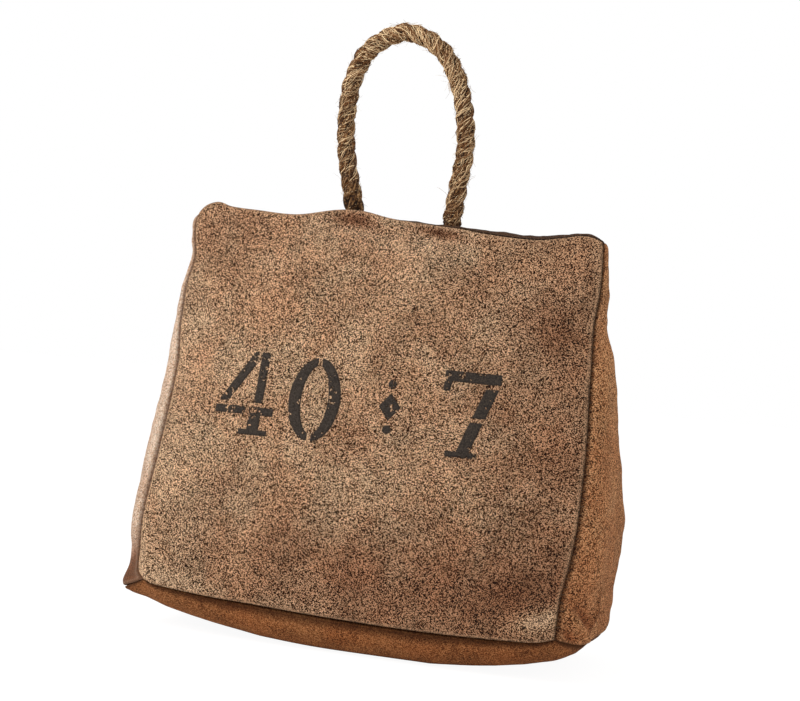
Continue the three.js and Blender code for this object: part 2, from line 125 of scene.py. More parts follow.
def dress(piece: Piece, material: Material, node: str = "") -> None:
    """Gives a piece its material and its body, and the solid that it stands for, if any.

    Args:
        piece: The piece.
        material: Its only material.
        node: The name of the solid that the piece replaces.
    """
    piece.data.materials.append(material)
    if node:
        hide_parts(node)
    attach(piece, BODY)


@dataclass(frozen=True)
class SeamForm:
    """Smooth curve through given points: shares of a length, each with its offset in millimetres."""

    points: tuple[tuple[float, float], ...]

    def at(self, share: Array) -> Array:
        """Offset at each share.

        Args:
            share: Shares of the length, from 0 to 1.

        Returns:
            The offsets, in the same shape.
        """
        knots = np.array([point[0] for point in self.points])
        values = np.array([point[1] for point in self.points])
        slopes = np.empty_like(values)
        slopes[1:-1] = (values[2:] - values[:-2]) / (knots[2:] - knots[:-2])
        slopes[0] = (values[1] - values[0]) / (knots[1] - knots[0])
        slopes[-1] = (values[-1] - values[-2]) / (knots[-1] - knots[-2])
        index = np.clip(np.searchsorted(knots, share, side="right") - 1, 0, len(knots) - 2)
        span = knots[index + 1] - knots[index]
        t = (share - knots[index]) / span
        return curve(t, values[index], values[index + 1], span * slopes[index], span * slopes[index + 1])


@dataclass(frozen=True)
class Pull:
    """Soft tug on the bag's skin: whatever lies near a place moves the same way."""

    place: tuple[float, float, float]
    move: tuple[float, float, float]
    reach: float

    def at(self, points: Array) -> Array:
        """Move of each point."""
        away = np.linalg.norm(points - np.array(self.place), axis=-1)
        return np.array(self.move) * np.exp(-((away / self.reach) ** 2))[..., None]


class Face(Enum):
    """The six faces of the bag, each with the direction that it looks in."""

    FRONT = (0, -1, 0)
    BACK = (0, 1, 0)
    LEFT = (-1, 0, 0)
    RIGHT = (1, 0, 0)
    BASE = (0, 0, -1)
    TOP = (0, 0, 1)

    @property
    def side(self) -> int:
        """-1 for the left face, 1 for the right one, otherwise 0."""
        return self.value[0]

    @property
    def end(self) -> int:
        """-1 for the front face, 1 for the back one, otherwise 0."""
        return self.value[1]

    @property
    def outward(self) -> int:
        """1 where the face's own grid turns outward, otherwise -1."""
        return self.side - self.end + self.value[2]


@dataclass(frozen=True)
class BagShape:
    """The bag's seams and the curved faces between them, before any crease or dent."""

    bottom_width: float = 238.0
    top_width: float = 234.0
    back_flare: float = 2.0
    back_taper: float = 4.0
    bottom_depth: float = 116.0
    top_depth: float = 24.0
    floor_seam_height: float = 25.0
    body_height: float = 210.0
    dome: float = 9.0
    dome_power_across: float = 3.2
    dome_power_up: float = 3.0
    dome_lean: float = 0.85
    top_dome: float = 0.3
    side_power: float = 2.6
    side_power_low: float = 2.4
    side_power_reach: float = 0.12
    side_seam_sag: float = 6.5
    floor_seam_belly: float = 2.0
    flat_share_x: float = 0.383
    flat_share_y: float = 0.588
    flat_power_x: float = 1.1
    flat_power_y: float = 2.0
    net_spans: tuple[float, float, float] = (238.0, 90.0, 210.0)
    left_seam: SeamForm = SeamForm(
        ((0, 0), (0.03, 2.5), (0.08, 3.8), (0.16, 4.1), (0.24, 2.9), (0.35, 0.9), (0.59, -1.5), (0.7, 0.9),
         (0.8, 0.2), (0.88, -2.6), (0.95, 1.2), (0.98, 1.8), (1, 0))
    )
    right_seam: SeamForm = SeamForm(
        ((0, 0), (0.08, 0.2), (0.13, 1.4), (0.19, 3.4), (0.27, 5), (0.35, 5.4), (0.49, 4.9), (0.65, 2.6),
         (0.78, 0.9), (0.86, 2.4), (0.93, 2.4), (1, 0))
    )
    front_top: SeamForm = SeamForm(
        ((0, 0), (0.03, 5.2), (0.052, 7.2), (0.08, 5.4), (0.146, 4.3), (0.25, 3.4), (0.357, 7.6), (0.417, 8),
         (0.49, 5.4), (0.6, 3.8), (0.66, 3.2), (0.715, 1.7), (0.79, 0.4), (0.856, 0.2), (0.9, 1.8),
         (0.95, 3.4), (0.98, 2), (1, 0))
    )
    back_top: SeamForm = SeamForm(
        ((0, 0), (0.05, 3.4), (0.3, 3.4), (0.45, 4), (0.6, 3), (0.8, 1.6), (0.95, 2.4), (1, 0))
    )
    floor_seam_form: SeamForm = SeamForm(
        ((0, 0), (0.04, -1), (0.1, -2.2), (0.2, -3.2), (0.4, -3.6), (0.6, -4.6), (0.75, -4.6), (0.9, -3.6),
         (0.96, -2.6), (1, 0))
    )
    left_full: SeamForm = SeamForm(
        ((0, 10), (0.06, 10.5), (0.14, 14.5), (0.38, 17.5), (0.52, 14.5), (0.62, 12), (0.77, 8.5), (1, 4))
    )
    right_full: SeamForm = SeamForm(
        ((0, 10), (0.08, 13.5), (0.14, 12.5), (0.37, 11.5), (0.62, 7.5), (0.78, 2), (1, 0.5))
    )

    pulls: tuple[Pull, ...] = (
        Pull((-127, -44, 20), (-6.5, 0, -1.5), 10), Pull((-119, -58, 25), (2.2, 0, 1.6), 5),
        Pull((-119, -58, 40), (2.4, 0, 0.8), 20), Pull((-100, -50, 8), (1.0, 0, 2.8), 30),
        Pull((-58, -48, 3), (0, 0, 2.2), 28), Pull((-118, -14, 205), (-2.2, 0, 0), 20),
        Pull((-112, -12, 238), (-2.2, 0, 1.2), 8), Pull((122, 0, 174), (2.8, 0, 0), 22),
        Pull((130, 0, 72), (-2.4, 0, 0), 20), Pull((124, 10, 28), (3.5, 0, 1.5), 16),
        Pull((104, 0, 6), (-5.0, 0, 2.4), 22), Pull((-30, 6, 232), (0, 0, 1.2), 20),
        Pull((114, -8, 236), (1.5, 0, 1.6), 12),
    )

    @property
    def top_seam_height(self) -> float:
        """Height of the top seam's corners over the floor."""
        return self.floor_seam_height + self.body_height

    def corner(self, side: int, end: int, level: int, inset: float) -> Array:
        """Corner of the bag.

        Args:
            side: -1 for the left, 1 for the right.
            end: -1 for the front, 1 for the back.
            level: 0 for the floor seam, 1 for the top seam.
            inset: How far inside the leather's outer face.

        Returns:
            The corner's place.
        """
        back = 1 if end > 0 else 0
        bottom = self.bottom_width + 2 * self.back_flare * back
        top = self.top_width - 2 * self.back_taper * back
        width = (bottom, top)[level]
        depth = (self.bottom_depth, self.top_depth)[level]
        height = (self.floor_seam_height + inset, self.top_seam_height - inset)[level]
        return np.array([side * (width / 2 - inset), end * (depth / 2 - inset), height])

    def fullness(self, side: int, share: Array) -> Array:
        """How far a side panel stands out past its seams, at each share of its height."""
        return (self.left_full if side < 0 else self.right_full).at(np.asarray(share, float))

    def side_bow(self, across: Array, share: Array | float) -> Array:
        """How a side panel's fullness is spread from its front seam to its back seam."""
        near_floor = np.clip(1.0 - np.asarray(share) / self.side_power_reach, 0.0, 1.0)
        return bow(across, self.side_power + self.side_power_low * near_floor)

    def straight(self, first: tuple, last: tuple, share: Array, inset: float) -> Array:
        """Points on the line between two corners, each given by its side, end and level."""
        ones = np.ones_like(share)[..., None]
        return mix(self.corner(*first, inset) * ones, self.corner(*last, inset) * ones, share)

    def side_seam(self, side: int, end: int, share: Array, inset: float) -> Array:
        """Points of the seam that runs up one corner of the bag."""
        points = self.straight((side, end, 0), (side, end, 1), share, inset)
        points[..., 0] += side * (self.left_seam if side < 0 else self.right_seam).at(share)
        return points

    def floor_seam(self, end: int, share: Array, inset: float) -> Array:
        """Points of the floor seam at the front or back."""
        points = self.straight((-1, end, 0), (1, end, 0), share, inset)
        points[..., 2] += self.floor_seam_form.at(share)
        points[..., 1] += end * self.floor_seam_belly * bow(share, 4)
        return points

    def top_seam(self, end: int, share: Array, inset: float) -> Array:
        """Points of the top seam at the front or back."""
        points = self.straight((-1, end, 1), (1, end, 1), share, inset)
        points[..., 2] += (self.front_top if end < 0 else self.back_top).at(share)
        return points

    def cross_seam(self, side: int, level: int, share: Array, inset: float) -> Array:
        """Points of the seam along a side panel's floor edge or top edge."""
        points = self.straight((side, -1, level), (side, 1, level), share, inset)
        points[..., 0] += side * self.fullness(side, float(level)) * self.side_bow(share, float(level))
        if level == 0:
            points[..., 2] -= self.side_seam_sag * bow(share, 3)
        return points

    def face(self, face: Face, u: Array, v: Array, inset: float = 0.0) -> Array:
        """Points of one face, filled in between its four seams and pushed out.

        Args:
            face: Which face.
            u: Shares across the face, from the left or the front.
            v: Shares up the face, or from the front to the back on the base and the top.
            inset: How far inside the leather's outer face.

        Returns:
            The points, with one more axis than u and v.
        """
        if face.end:
            low = partial(self.floor_seam, face.end, inset=inset)
            high = partial(self.top_seam, face.end, inset=inset)
            left, right = (partial(self.side_seam, side, face.end, inset=inset) for side in (-1, 1))
        elif face.side:
            low, high = (partial(self.cross_seam, face.side, level, inset=inset) for level in (0, 1))
            left, right = (partial(self.side_seam, face.side, end, inset=inset) for end in (-1, 1))
        else:
            level = int(face is Face.TOP)
            seam = self.top_seam if level else self.floor_seam
            low, high = (partial(seam, end, inset=inset) for end in (-1, 1))
            left, right = (partial(self.cross_seam, side, level, inset=inset) for side in (-1, 1))
        zero = np.zeros_like(u)
        one = np.ones_like(u)
        points = mix(low(u), high(u), v) + mix(left(v), right(v), u)
        points -= mix(mix(low(zero), low(one), u), mix(high(zero), high(one), u), v)
        return self.filled(face, points, u, v, inset)

    def filled(self, face: Face, points: Array, u: Array, v: Array, inset: float) -> Array:
        """Pushes a face out as the filling does."""
        if face.end:
            swell = bow(u, self.dome_power_across) * bow(v**self.dome_lean, self.dome_power_up)
            points[..., 1] += face.end * self.dome * swell
        elif face.side:
            bottom, top = (self.fullness(face.side, level) for level in (0.0, 1.0))
            own = self.fullness(face.side, v) - (bottom * (1 - v) + top * v)
            points[..., 0] += face.side * own * self.side_bow(u, v)
        elif face is Face.BASE:
            points[..., 2] += (inset - points[..., 2]) * self.resting(u, v)
        else:
            points[..., 2] += self.top_dome * bow(u, 4) * bow(v, 2)
        moved = points + sum(pull.at(points) for pull in self.pulls)
        if face is Face.BASE:
            moved[..., 2] = np.maximum(moved[..., 2], np.minimum(points[..., 2], inset))
        return moved

    def resting(self, u: Array, v: Array) -> Array:
        """1 where the base rests flat on the floor, down to 0 at its seam."""
        across = self.plateau(2 * u - 1, self.flat_share_x, self.flat_power_x)
        return across * self.plateau(2 * v - 1, self.flat_share_y, self.flat_power_y)

    @staticmethod
    def plateau(share: Array, flat_share: float, power: float) -> Array:
        """Plateau of 1 up to the flat share, then a round shoulder down to 0 at the edge."""
        t = np.maximum(0.0, (np.abs(share) - flat_share) / (1.0 - flat_share))
        return np.sqrt(np.maximum(0.0, 1.0 - t**power))

    def net(self, face: Face, spacing: float) -> tuple[Array, Array]:
        """Even shares over a face, as many along each seam as its neighbour has.

        Args:
            face: Which face.
            spacing: Rough distance between points, in millimetres.

        Returns:
            The shares across and up.
        """
        wide, deep, high = (round(span / spacing) + 1 for span in self.net_spans)
        columns = deep if face.side else wide
        rows = high if face.side or face.end else deep
        return tuple(np.meshgrid(np.linspace(0, 1, columns), np.linspace(0, 1, rows)))

    def spans(self, face: Face) -> tuple[float, float]:
        """Rough width and height of a face."""
        if face.side:
            return (self.bottom_depth + self.top_depth) / 2, self.body_height
        if face.end:
            return self.bottom_width, self.body_height
        if face is Face.TOP:
            return self.top_width, self.top_depth
        return self.bottom_width, self.bottom_depth


@dataclass(frozen=True)
class SoftNoise:
    """Smooth random field made of waves that run in many directions."""

    seed: int
    wavelength: float
    waves: int = 14
    lengths: tuple[float, float] = (0.7, 1.6)

    def at(self, points: Array) -> Array:
        """Field value at each point, about -1 to 1."""
        rng = np.random.default_rng(self.seed)
        total = np.zeros(points.shape[:-1])
        for _ in range(self.waves):
            direction = unit(rng.normal(size=points.shape[-1]))
            length = self.wavelength * rng.uniform(*self.lengths)
            total += np.sin(TURN * (points @ direction) / length + rng.uniform(0, TURN))
        return total / math.sqrt(self.waves)


@dataclass(frozen=True)
class Dent:
    """Soft hollow or swelling on a panel: its centre and half sizes in millimetres along the panel."""

    across: float
    up: float
    half_width: float
    half_height: float
    depth: float
    turn: float = 0.0

    def at(self, across: Array, up: Array) -> Array:
        """How far the panel goes in at each place."""
        angle = math.radians(self.turn)
        x = across - self.across
        y = up - self.up
        along = (x * math.cos(angle) + y * math.sin(angle)) / self.half_width
        aside = (y * math.cos(angle) - x * math.sin(angle)) / self.half_height
        return self.depth * np.exp(-(along**2) - aside**2)


@dataclass(frozen=True)
class Relief:
    """Folds and softness of one leather panel, all in millimetres, with spots of tone that are partly the
    leather's own colour and partly painted shade and painted highlight.
    """

    seed: int
    broad: float = 0.9
    middle: float = 0.28
    fine: float = 0.07
    pucker: float = 0.4
    stitch: float = 0.22
    dents: tuple[Dent, ...] = ()
    tone_and_shade_spots: tuple[Dent, ...] = ()


class MeshMaker:
    """Builds mesh objects from points in millimetres, about the middle of the seams."""

    hole_sides = 40

    def __init__(self, shift: Array) -> None:
        """Keeps the place of the seams' middle in the row's frame, in millimetres."""
        self.shift = shift

    def build(self, name: str, points: Array, faces: list) -> Piece:
        """Object from points and faces.

        Args:
            name: The piece's name.
            points: Points in millimetres, one in each row.
            faces: Point numbers of each face.

        Returns:
            The linked object.
        """
        mesh = bpy.data.meshes.new(name)
        mesh.from_pydata(((points + self.shift) * MM).tolist(), [], faces)
        mesh.polygons.foreach_set("use_smooth", [True] * len(mesh.polygons))
        mesh.update()
        return link(name, mesh)

    def cut(self, piece: Piece, middle: Array, direction: Array, radius: float, half_length: float) -> None:
        """Cuts a round hole or pocket in a piece.

        Args:
            piece: The piece to cut.
            middle: The hole's middle, in millimetres.
            direction: The hole's direction.
            radius: The hole's radius.
            half_length: How far the hole reaches each way.
        """
        cone = bmesh.new()
        bmesh.ops.create_cone(cone, cap_ends=True, segments=self.hole_sides, radius1=radius * MM,
                              radius2=radius * MM, depth=2 * half_length * MM)
        mesh = bpy.data.meshes.new("cutter")
        cone.to_mesh(mesh)
        cone.free()
        cutter = link("cutter", mesh)
        turned = Vector(direction).to_track_quat("Z", "Y").to_matrix().to_4x4()
        cutter.matrix_world = Matrix.Translation(Vector((middle + self.shift) * MM)) @ turned
        boolean = piece.modifiers.new("hole", "BOOLEAN")
        boolean.operation = "DIFFERENCE"
        boolean.solver = "EXACT"
        boolean.object = cutter
        bpy.context.view_layer.update()
        result = piece.evaluated_get(bpy.context.evaluated_depsgraph_get())
        cut_mesh = bpy.data.meshes.new_from_object(result)
        piece.modifiers.clear()
        cut_mesh.name = piece.data.name
        piece.data = cut_mesh
        bpy.data.objects.remove(cutter)

    @staticmethod
    def mark(piece: Piece, name: str, values: Array) -> None:
        """Stores a number or a vector for each point of a piece."""
        several = values.ndim > 1
        layer = piece.data.attributes.new(name, "FLOAT_VECTOR" if several else "FLOAT", "POINT")
        layer.data.foreach_set("vector" if several else "value", values.astype(np.float32).ravel())

    @staticmethod
    def quads(rows: int, columns: int, offset: int = 0, turned: bool = False) -> list:
        """Faces of a grid of points that starts at an offset in the point list."""
        start = offset + np.arange(rows - 1)[:, None] * columns + np.arange(columns - 1)
        corners = [start, start + 1, start + columns + 1, start + columns]
        order = corners[::-1] if turned else corners
        return np.stack(order, -1).reshape(-1, 4).tolist()

    @staticmethod
    def rim(rows: int, columns: int) -> list[int]:
        """Point numbers round a grid's edge."""
        bottom = list(range(columns - 1))
        right = [row * columns + columns - 1 for row in range(rows - 1)]
        top = [(rows - 1) * columns + column for column in range(columns - 1, 0, -1)]
        left = [row * columns for row in range(rows - 1, 0, -1)]
        return bottom + right + top + left


class NodeSheet:
    """Adds and joins the nodes of one material or node group."""

    def __init__(self, tree: bpy.types.NodeTree) -> None:
        """Empties the node tree."""
        self.tree = tree
        self.tree.nodes.clear()

    def add(self, kind: str, inputs: dict | None = None, **settings: object) -> bpy.types.Node:
        """One node.

        Args:
            kind: Blender's name for the node type.
            inputs: Values or sockets for its inputs, by name or number.
            settings: The node's own settings.

        Returns:
            The node.
        """
        node = self.tree.nodes.new(kind)
        for key, value in settings.items():
            setattr(node, key, value)
        for key, value in (inputs or {}).items():
            if isinstance(value, Socket):
                self.tree.links.new(value, node.inputs[key])
            else:
                node.inputs[key].default_value = value
        return node

    def math(self, operation: str, first: object, second: object = 0.0) -> Socket:
        """Result of a math node."""
        return self.add("ShaderNodeMath", {0: first, 1: second}, operation=operation).outputs[0]

    def spread(self, value: object, low: float, high: float, out_low: float = 0.0,
               out_high: float = 1.0) -> Socket:
        """A value's range from low to high, spread smoothly over another range."""
        inputs = {"Value": value, "From Min": low, "From Max": high, "To Min": out_low, "To Max": out_high}
        return self.add("ShaderNodeMapRange", inputs, interpolation_type="SMOOTHSTEP").outputs[0]

    def noise(self, vector: object, scale: object, detail: float = 2.0, roughness: float = 0.5,
              distortion: float = 0.0) -> Socket:
        """Value of a noise texture."""
        inputs = {"Vector": vector, "Scale": scale, "Detail": detail, "Roughness": roughness,
                  "Distortion": distortion}
        return self.add("ShaderNodeTexNoise", inputs).outputs[0]

    def blend(self, share: object, first: object, second: object, kind: str = "MIX") -> Socket:
        """Mixed colour."""
        inputs = {at: linear(value) if isinstance(value, tuple) else value
                  for at, value in ((0, share), (6, first), (7, second))}
        return self.add("ShaderNodeMix", inputs, data_type="RGBA", blend_type=kind).outputs[2]

    def ramp(self, value: object, stops: list[tuple[float, Colour]]) -> Socket:
        """Colour from a ramp with the given stops."""
        node = self.add("ShaderNodeValToRGB", {0: value})
        elements = node.color_ramp.elements
        while len(elements) < len(stops):
            elements.new(0.5)
        for element, (place, colour) in zip(elements, stops):
            element.position = place
            element.color = linear(colour)
        return node.outputs[0]

    def bump(self, strength: float, distance: float, height: Socket) -> Socket:
        """Normal that a height gives."""
        inputs = {"Strength": strength, "Distance": distance, "Height": height}
        return self.add("ShaderNodeBump", inputs).outputs[0]

    def attribute(self, name: str, output: str = "Fac") -> Socket:
        """Value that the mesh stores under a name."""
        return self.add("ShaderNodeAttribute", attribute_name=name).outputs[output]


class GroupShelf:
    """The node groups that more than one finish uses, each built once."""

    tuft_core = 0.15
    tuft_rim = 0.85
    own_share = 0.62
    lean_share = 0.16
    tuft_share = 0.22
    clipped = 0.25
    patch_edge = 0.25
    patch_reach = 0.22

    def __init__(self) -> None:
        """Builds the groups."""
        self.nap = self.make_nap()
        self.mottle = self.make_mottle()
        self.fibre = self.make_fibre()

    @staticmethod
    def start(name: str, values: dict[str, float], outputs: tuple[str, ...]) -> tuple:
        """Empty group with its sockets.

        Args:
            name: The group's name.
            values: Name and default of each value that goes in beside the vector.
            outputs: Names of the values that come out.

        Returns:
            The group's node sheet, and the outputs of its input node.
        """
        group = bpy.data.node_groups.new(name, "ShaderNodeTree")
        group.interface.new_socket(name="Vector", in_out="INPUT", socket_type="NodeSocketVector")
        for label, value in values.items():
            socket = group.interface.new_socket(name=label, in_out="INPUT", socket_type="NodeSocketFloat")
            socket.default_value = value
        for label in outputs:
            group.interface.new_socket(name=label, in_out="OUTPUT", socket_type="NodeSocketFloat")
        sheet = NodeSheet(group)
        return sheet, sheet.add("NodeGroupInput").outputs

    def make_nap(self) -> bpy.types.NodeTree:
        """Group for short brushed fibres: a speckled shade and a height."""
        sheet, given = self.start("Suede nap", {"Scale": 800.0, "Sharpness": 0.5}, ("Shade", "Height"))
        lean = sheet.noise(given["Vector"], given["Scale"], 1.0, 0.6, 0.3)
        tuft = sheet.add("ShaderNodeTexVoronoi", {"Vector": given["Vector"], "Scale": given["Scale"]})
        own = sheet.add("ShaderNodeSeparateXYZ", {0: tuft.outputs["Color"]}).outputs[0]
        rounding = {"Value": tuft.outputs["Distance"], "From Min": self.tuft_core, "From Max": self.tuft_rim,
                    "To Min": 1.0, "To Max": 0.0}
        height = sheet.add("ShaderNodeMapRange", rounding).outputs[0]
        varied = sheet.math("ADD", sheet.math("MULTIPLY", own, self.own_share),
                            sheet.math("MULTIPLY", lean, self.lean_share))
        both = sheet.math("ADD", sheet.math("MULTIPLY", height, self.tuft_share), varied)
        low = sheet.math("MULTIPLY", given["Sharpness"], self.clipped)
        high = sheet.math("SUBTRACT", 1.0, low)
        shade = sheet.add("ShaderNodeMapRange", {"Value": both, "From Min": low, "From Max": high})
        sheet.add("NodeGroupOutput", {"Shade": shade.outputs[0], "Height": height})
        return sheet.tree

    def make_mottle(self) -> bpy.types.NodeTree:
        """Group for broad patches where the colour or the lie of the nap differs."""
        sheet, given = self.start("Mottled patches", {"Scale": 30.0, "Contrast": 0.5}, ("Patch",))
        noise = sheet.noise(given["Vector"], given["Scale"], 5.0, 0.6, 0.35)
        reach = sheet.math("MULTIPLY", given["Contrast"], self.patch_reach)
        limits = {"Value": noise, "From Min": sheet.math("ADD", self.patch_edge, reach),
                  "From Max": sheet.math("SUBTRACT", 1.0 - self.patch_edge, reach)}
        patch = sheet.add("ShaderNodeMapRange", limits, interpolation_type="SMOOTHSTEP")
        sheet.add("NodeGroupOutput", {"Patch": patch.outputs[0]})
        return sheet.tree

    def make_fibre(self) -> bpy.types.NodeTree:
        """Group for drawn-out fibres: a streaked shade from stretched noise."""
        sheet, given = self.start("Drawn fibres", {"Scale": 200.0}, ("Streak",))
        streak = sheet.noise(given["Vector"], given["Scale"], 3.0, 0.65)
        sheet.add("NodeGroupOutput", {"Streak": sheet.spread(streak, 0.3, 0.7)})
        return sheet.tree


@dataclass(frozen=True)
class Finish:
    """A material. Each kind of finish adds its own nodes."""

    name: str

    def build(self, shelf: GroupShelf) -> Material:
        """Material with this finish.

        Args:
            shelf: The shared node groups.

        Returns:
            The material.
        """
        material = bpy.data.materials.new(self.name)
        material.use_nodes = True
        sheet = NodeSheet(material.node_tree)
        place = sheet.add("ShaderNodeTexCoord").outputs["Object"]
        shader = sheet.add("ShaderNodeBsdfPrincipled", self.nodes(sheet, shelf, place))
        sheet.add("ShaderNodeOutputMaterial", {"Surface": shader.outputs[0]})
        return material

    def nodes(self, sheet: NodeSheet, shelf: GroupShelf, place: Socket) -> dict:
        """Nodes of this finish.

        Args:
            sheet: The material's node sheet.
            shelf: The shared node groups.
            place: The place on the piece.

        Returns:
            The shader's inputs.
        """
        raise NotImplementedError


@dataclass(frozen=True)
class Patches:
    """Broad patches of a finish: their scale, how sharply they end, and their place in the noise."""

    scale: float
    contrast: float
    offset: float

    def mask(self, sheet: NodeSheet, shelf: GroupShelf, place: Socket) -> Socket:
        """Mask of the patches."""
        offset = (self.offset, self.offset, self.offset)
        moved = sheet.add("ShaderNodeVectorMath", {0: place, 1: offset}, operation="ADD").outputs[0]
        inputs = {"Vector": moved, "Scale": self.scale, "Contrast": self.contrast}
        return sheet.add("ShaderNodeGroup", inputs, node_tree=shelf.mottle).outputs["Patch"]


@dataclass(frozen=True)
class SuedeFinish(Finish):
    """Napped leather: its colours, the grain of its nap and how patchy it is."""

    deep: Colour
    middle: Colour
    pale: Colour
    # Colour of lighter tone and of painted highlight; also the sheen's tint.
    light: Colour
    warm: Colour
    # Colour of the rolled edge's lighter band: rubbed wear and painted highlight.
    edge: Colour
    dull: Colour = (226, 232, 236)
    shade: Colour = (186, 130, 98)
    middle_place: float = 0.48
    grain_scale: float = 2350.0
    sharpness: float = 1.5
    lie: float = 0.06
    lying: float = 0.16
    warmth: float = 0.34
    dullness: float = 0.4
    darkening: float = 0.62
    hollow_shade_from: float = 0.48
    edge_wear_and_highlight: float = 0.5
    crease_shade_depth: float = 0.85
    bump: float = 0.5
    bump_distance: float = 0.0009
    roughness: float = 0.95
    specular: float = 0.12
    sheen: float = 0.2
    sheen_roughness: float = 0.45
    lie_patches: Patches = Patches(40.0, 0.5, 3.1)
    warm_patches: Patches = Patches(30.0, 0.55, 0.0)
    dull_patches: Patches = Patches(46.0, 0.5, 7.3)

    def nodes(self, sheet: NodeSheet, shelf: GroupShelf, place: Socket) -> dict:
        """Nodes of the leather. The mesh stores its tone, which holds painted shade and painted highlight,
        its rubbed and highlighted rolled edge, and the painted shade beside its seams.
        """
        grain = {"Vector": place, "Scale": self.grain_scale, "Sharpness": self.sharpness}
        nap = sheet.add("ShaderNodeGroup", grain, node_tree=shelf.nap).outputs
        lie = sheet.spread(self.lie_patches.mask(sheet, shelf, place), 0.0, 1.0, -self.lie, self.lie)
        tone = sheet.attribute("tone")
        lean = sheet.math("ADD", lie, sheet.math("MULTIPLY", tone, self.lying))
        shade = sheet.math("ADD", nap["Shade"], lean)
        colour = sheet.ramp(shade, [(0.0, self.deep), (self.middle_place, self.middle), (1.0, self.pale)])
        for patches, share, tint in ((self.warm_patches, self.warmth, self.warm),
                                     (self.dull_patches, self.dullness, self.dull)):
            mask = sheet.math("MULTIPLY", patches.mask(sheet, shelf, place), share)
            colour = sheet.blend(mask, colour, tint, "MULTIPLY")
        # Positive tone lightens towards the light colour: partly the leather's own lighter patches, partly
        # painted highlight on folds and corners.
        shown = sheet.spread(shade, 0.0, 0.7, 0.2, 0.7)
        light_tone_and_highlight = sheet.math("MULTIPLY", sheet.math("MAXIMUM", tone, 0.0), shown)
        colour = sheet.blend(light_tone_and_highlight, colour, self.light)
        # Negative tone multiplies by the shade colour: partly the leather's own darker patches, partly
        # painted shade in dents, folds and on sides turned from the light.
        dark_tone_and_shade = sheet.math("MAXIMUM", sheet.math("MULTIPLY", tone, -self.darkening), 0.0)
        colour = sheet.blend(dark_tone_and_shade, colour, self.shade, "MULTIPLY")
        # The darkest tone goes on towards the deep colour: painted shade in the hollows under the rope's feet
        # and at the left gusset's lower corner.
        hollow_shade = sheet.math("MAXIMUM", sheet.math("SUBTRACT", dark_tone_and_shade, self.hollow_shade_from), 0.0)
        colour = sheet.blend(hollow_shade, colour, self.deep)
        # A lighter band along each rolled edge: partly rubbed wear, partly painted highlight on the lip.
        worn = sheet.math("MULTIPLY", sheet.attribute("edge_wear_and_highlight"), sheet.spread(shade, 0.1, 0.8, 0.35, 1.0))
        colour = sheet.blend(sheet.math("MULTIPLY", worn, self.edge_wear_and_highlight), colour, self.edge)
        # Painted shade in the crease beside each seam, blended towards the deep colour.
        crease_shade = sheet.math("MULTIPLY", sheet.attribute("crease_shade"), self.crease_shade_depth)
        return {"Base Color": sheet.blend(crease_shade, colour, self.deep), "Roughness": self.roughness,
                "Normal": sheet.bump(self.bump, self.bump_distance, nap["Height"]),
                "Specular IOR Level": self.specular, "Sheen Weight": self.sheen,
                "Sheen Roughness": self.sheen_roughness, "Sheen Tint": linear(self.light)}


@dataclass(frozen=True)
class PaintFinish(Finish):
    """Matt stencil paint that has sunk into the nap and worn off in specks."""

    black: Colour
    grey: Colour
    grain_scale: float = 1900.0
    sharpness: float = 0.8
    speck_scale: float = 430.0
    rub_scale: float = 95.0
    wear: float = 0.15

    def nodes(self, sheet: NodeSheet, shelf: GroupShelf, place: Socket) -> dict:
        """Nodes of the paint, which is left out where it has worn off."""
        grain = {"Vector": place, "Scale": self.grain_scale, "Sharpness": self.sharpness}
        nap = sheet.add("ShaderNodeGroup", grain, node_tree=shelf.nap).outputs
        specks = sheet.noise(place, self.speck_scale, 2.0, 0.55)
        rubbed = sheet.spread(sheet.noise(place, self.rub_scale), 0.42, 0.68)
        worn = sheet.math("ADD", specks, sheet.math("MULTIPLY", rubbed, self.wear))
        return {"Base Color": sheet.blend(nap["Shade"], self.black, self.grey), "Roughness": 0.85,
                "Normal": sheet.bump(0.35, 0.0006, nap["Height"]), "Specular IOR Level": 0.2,
                "Alpha": sheet.spread(worn, 0.66, 0.72, 1.0, 0.0)}


@dataclass(frozen=True)
class RopeFinish(Finish):
    """Jute yarn: painted shade in the hollows between its strands and yarns, golden flanks, lighter crests
    and pale dry fibres.
    """

    hollow_shade: Colour
    flank: Colour
    lit_crest: Colour
    pale: Colour
    lit_crest_share: float = 0.6
    streak_share: float = 0.5
    speck_share: float = 0.4
    speck_scale: float = 900.0

    def nodes(self, sheet: NodeSheet, shelf: GroupShelf, place: Socket) -> dict:
        """Nodes of the rope. The mesh stores how its yarns lie and how far out they stand, which sets painted
        shade in the grooves and lighter crests.
        """
        lay = {"Vector": sheet.attribute("lay", "Vector"), "Scale": 1.0}
        streak = sheet.add("ShaderNodeGroup", lay, node_tree=shelf.fibre).outputs["Streak"]
        speck = sheet.noise(place, self.speck_scale, 2.0, 0.6)
        speck = sheet.spread(speck, 0.32, 0.68, 0.0, self.speck_share)
        # Points that stand further out get lighter: painted shade in the grooves, lighter crests.
        rise = sheet.math("ADD", sheet.math("MULTIPLY", sheet.attribute("lit_crest"), self.lit_crest_share),
                          sheet.math("MULTIPLY", streak, self.streak_share))
        shade = sheet.spread(sheet.math("ADD", rise, speck), 0.25, 1.35)
        stops = [(0.0, self.hollow_shade), (0.45, self.flank), (0.8, self.lit_crest), (1.0, self.pale)]
        return {"Base Color": sheet.ramp(shade, stops), "Roughness": 0.88, "Specular IOR Level": 0.2,
                "Normal": sheet.bump(0.6, 0.0006, streak)}


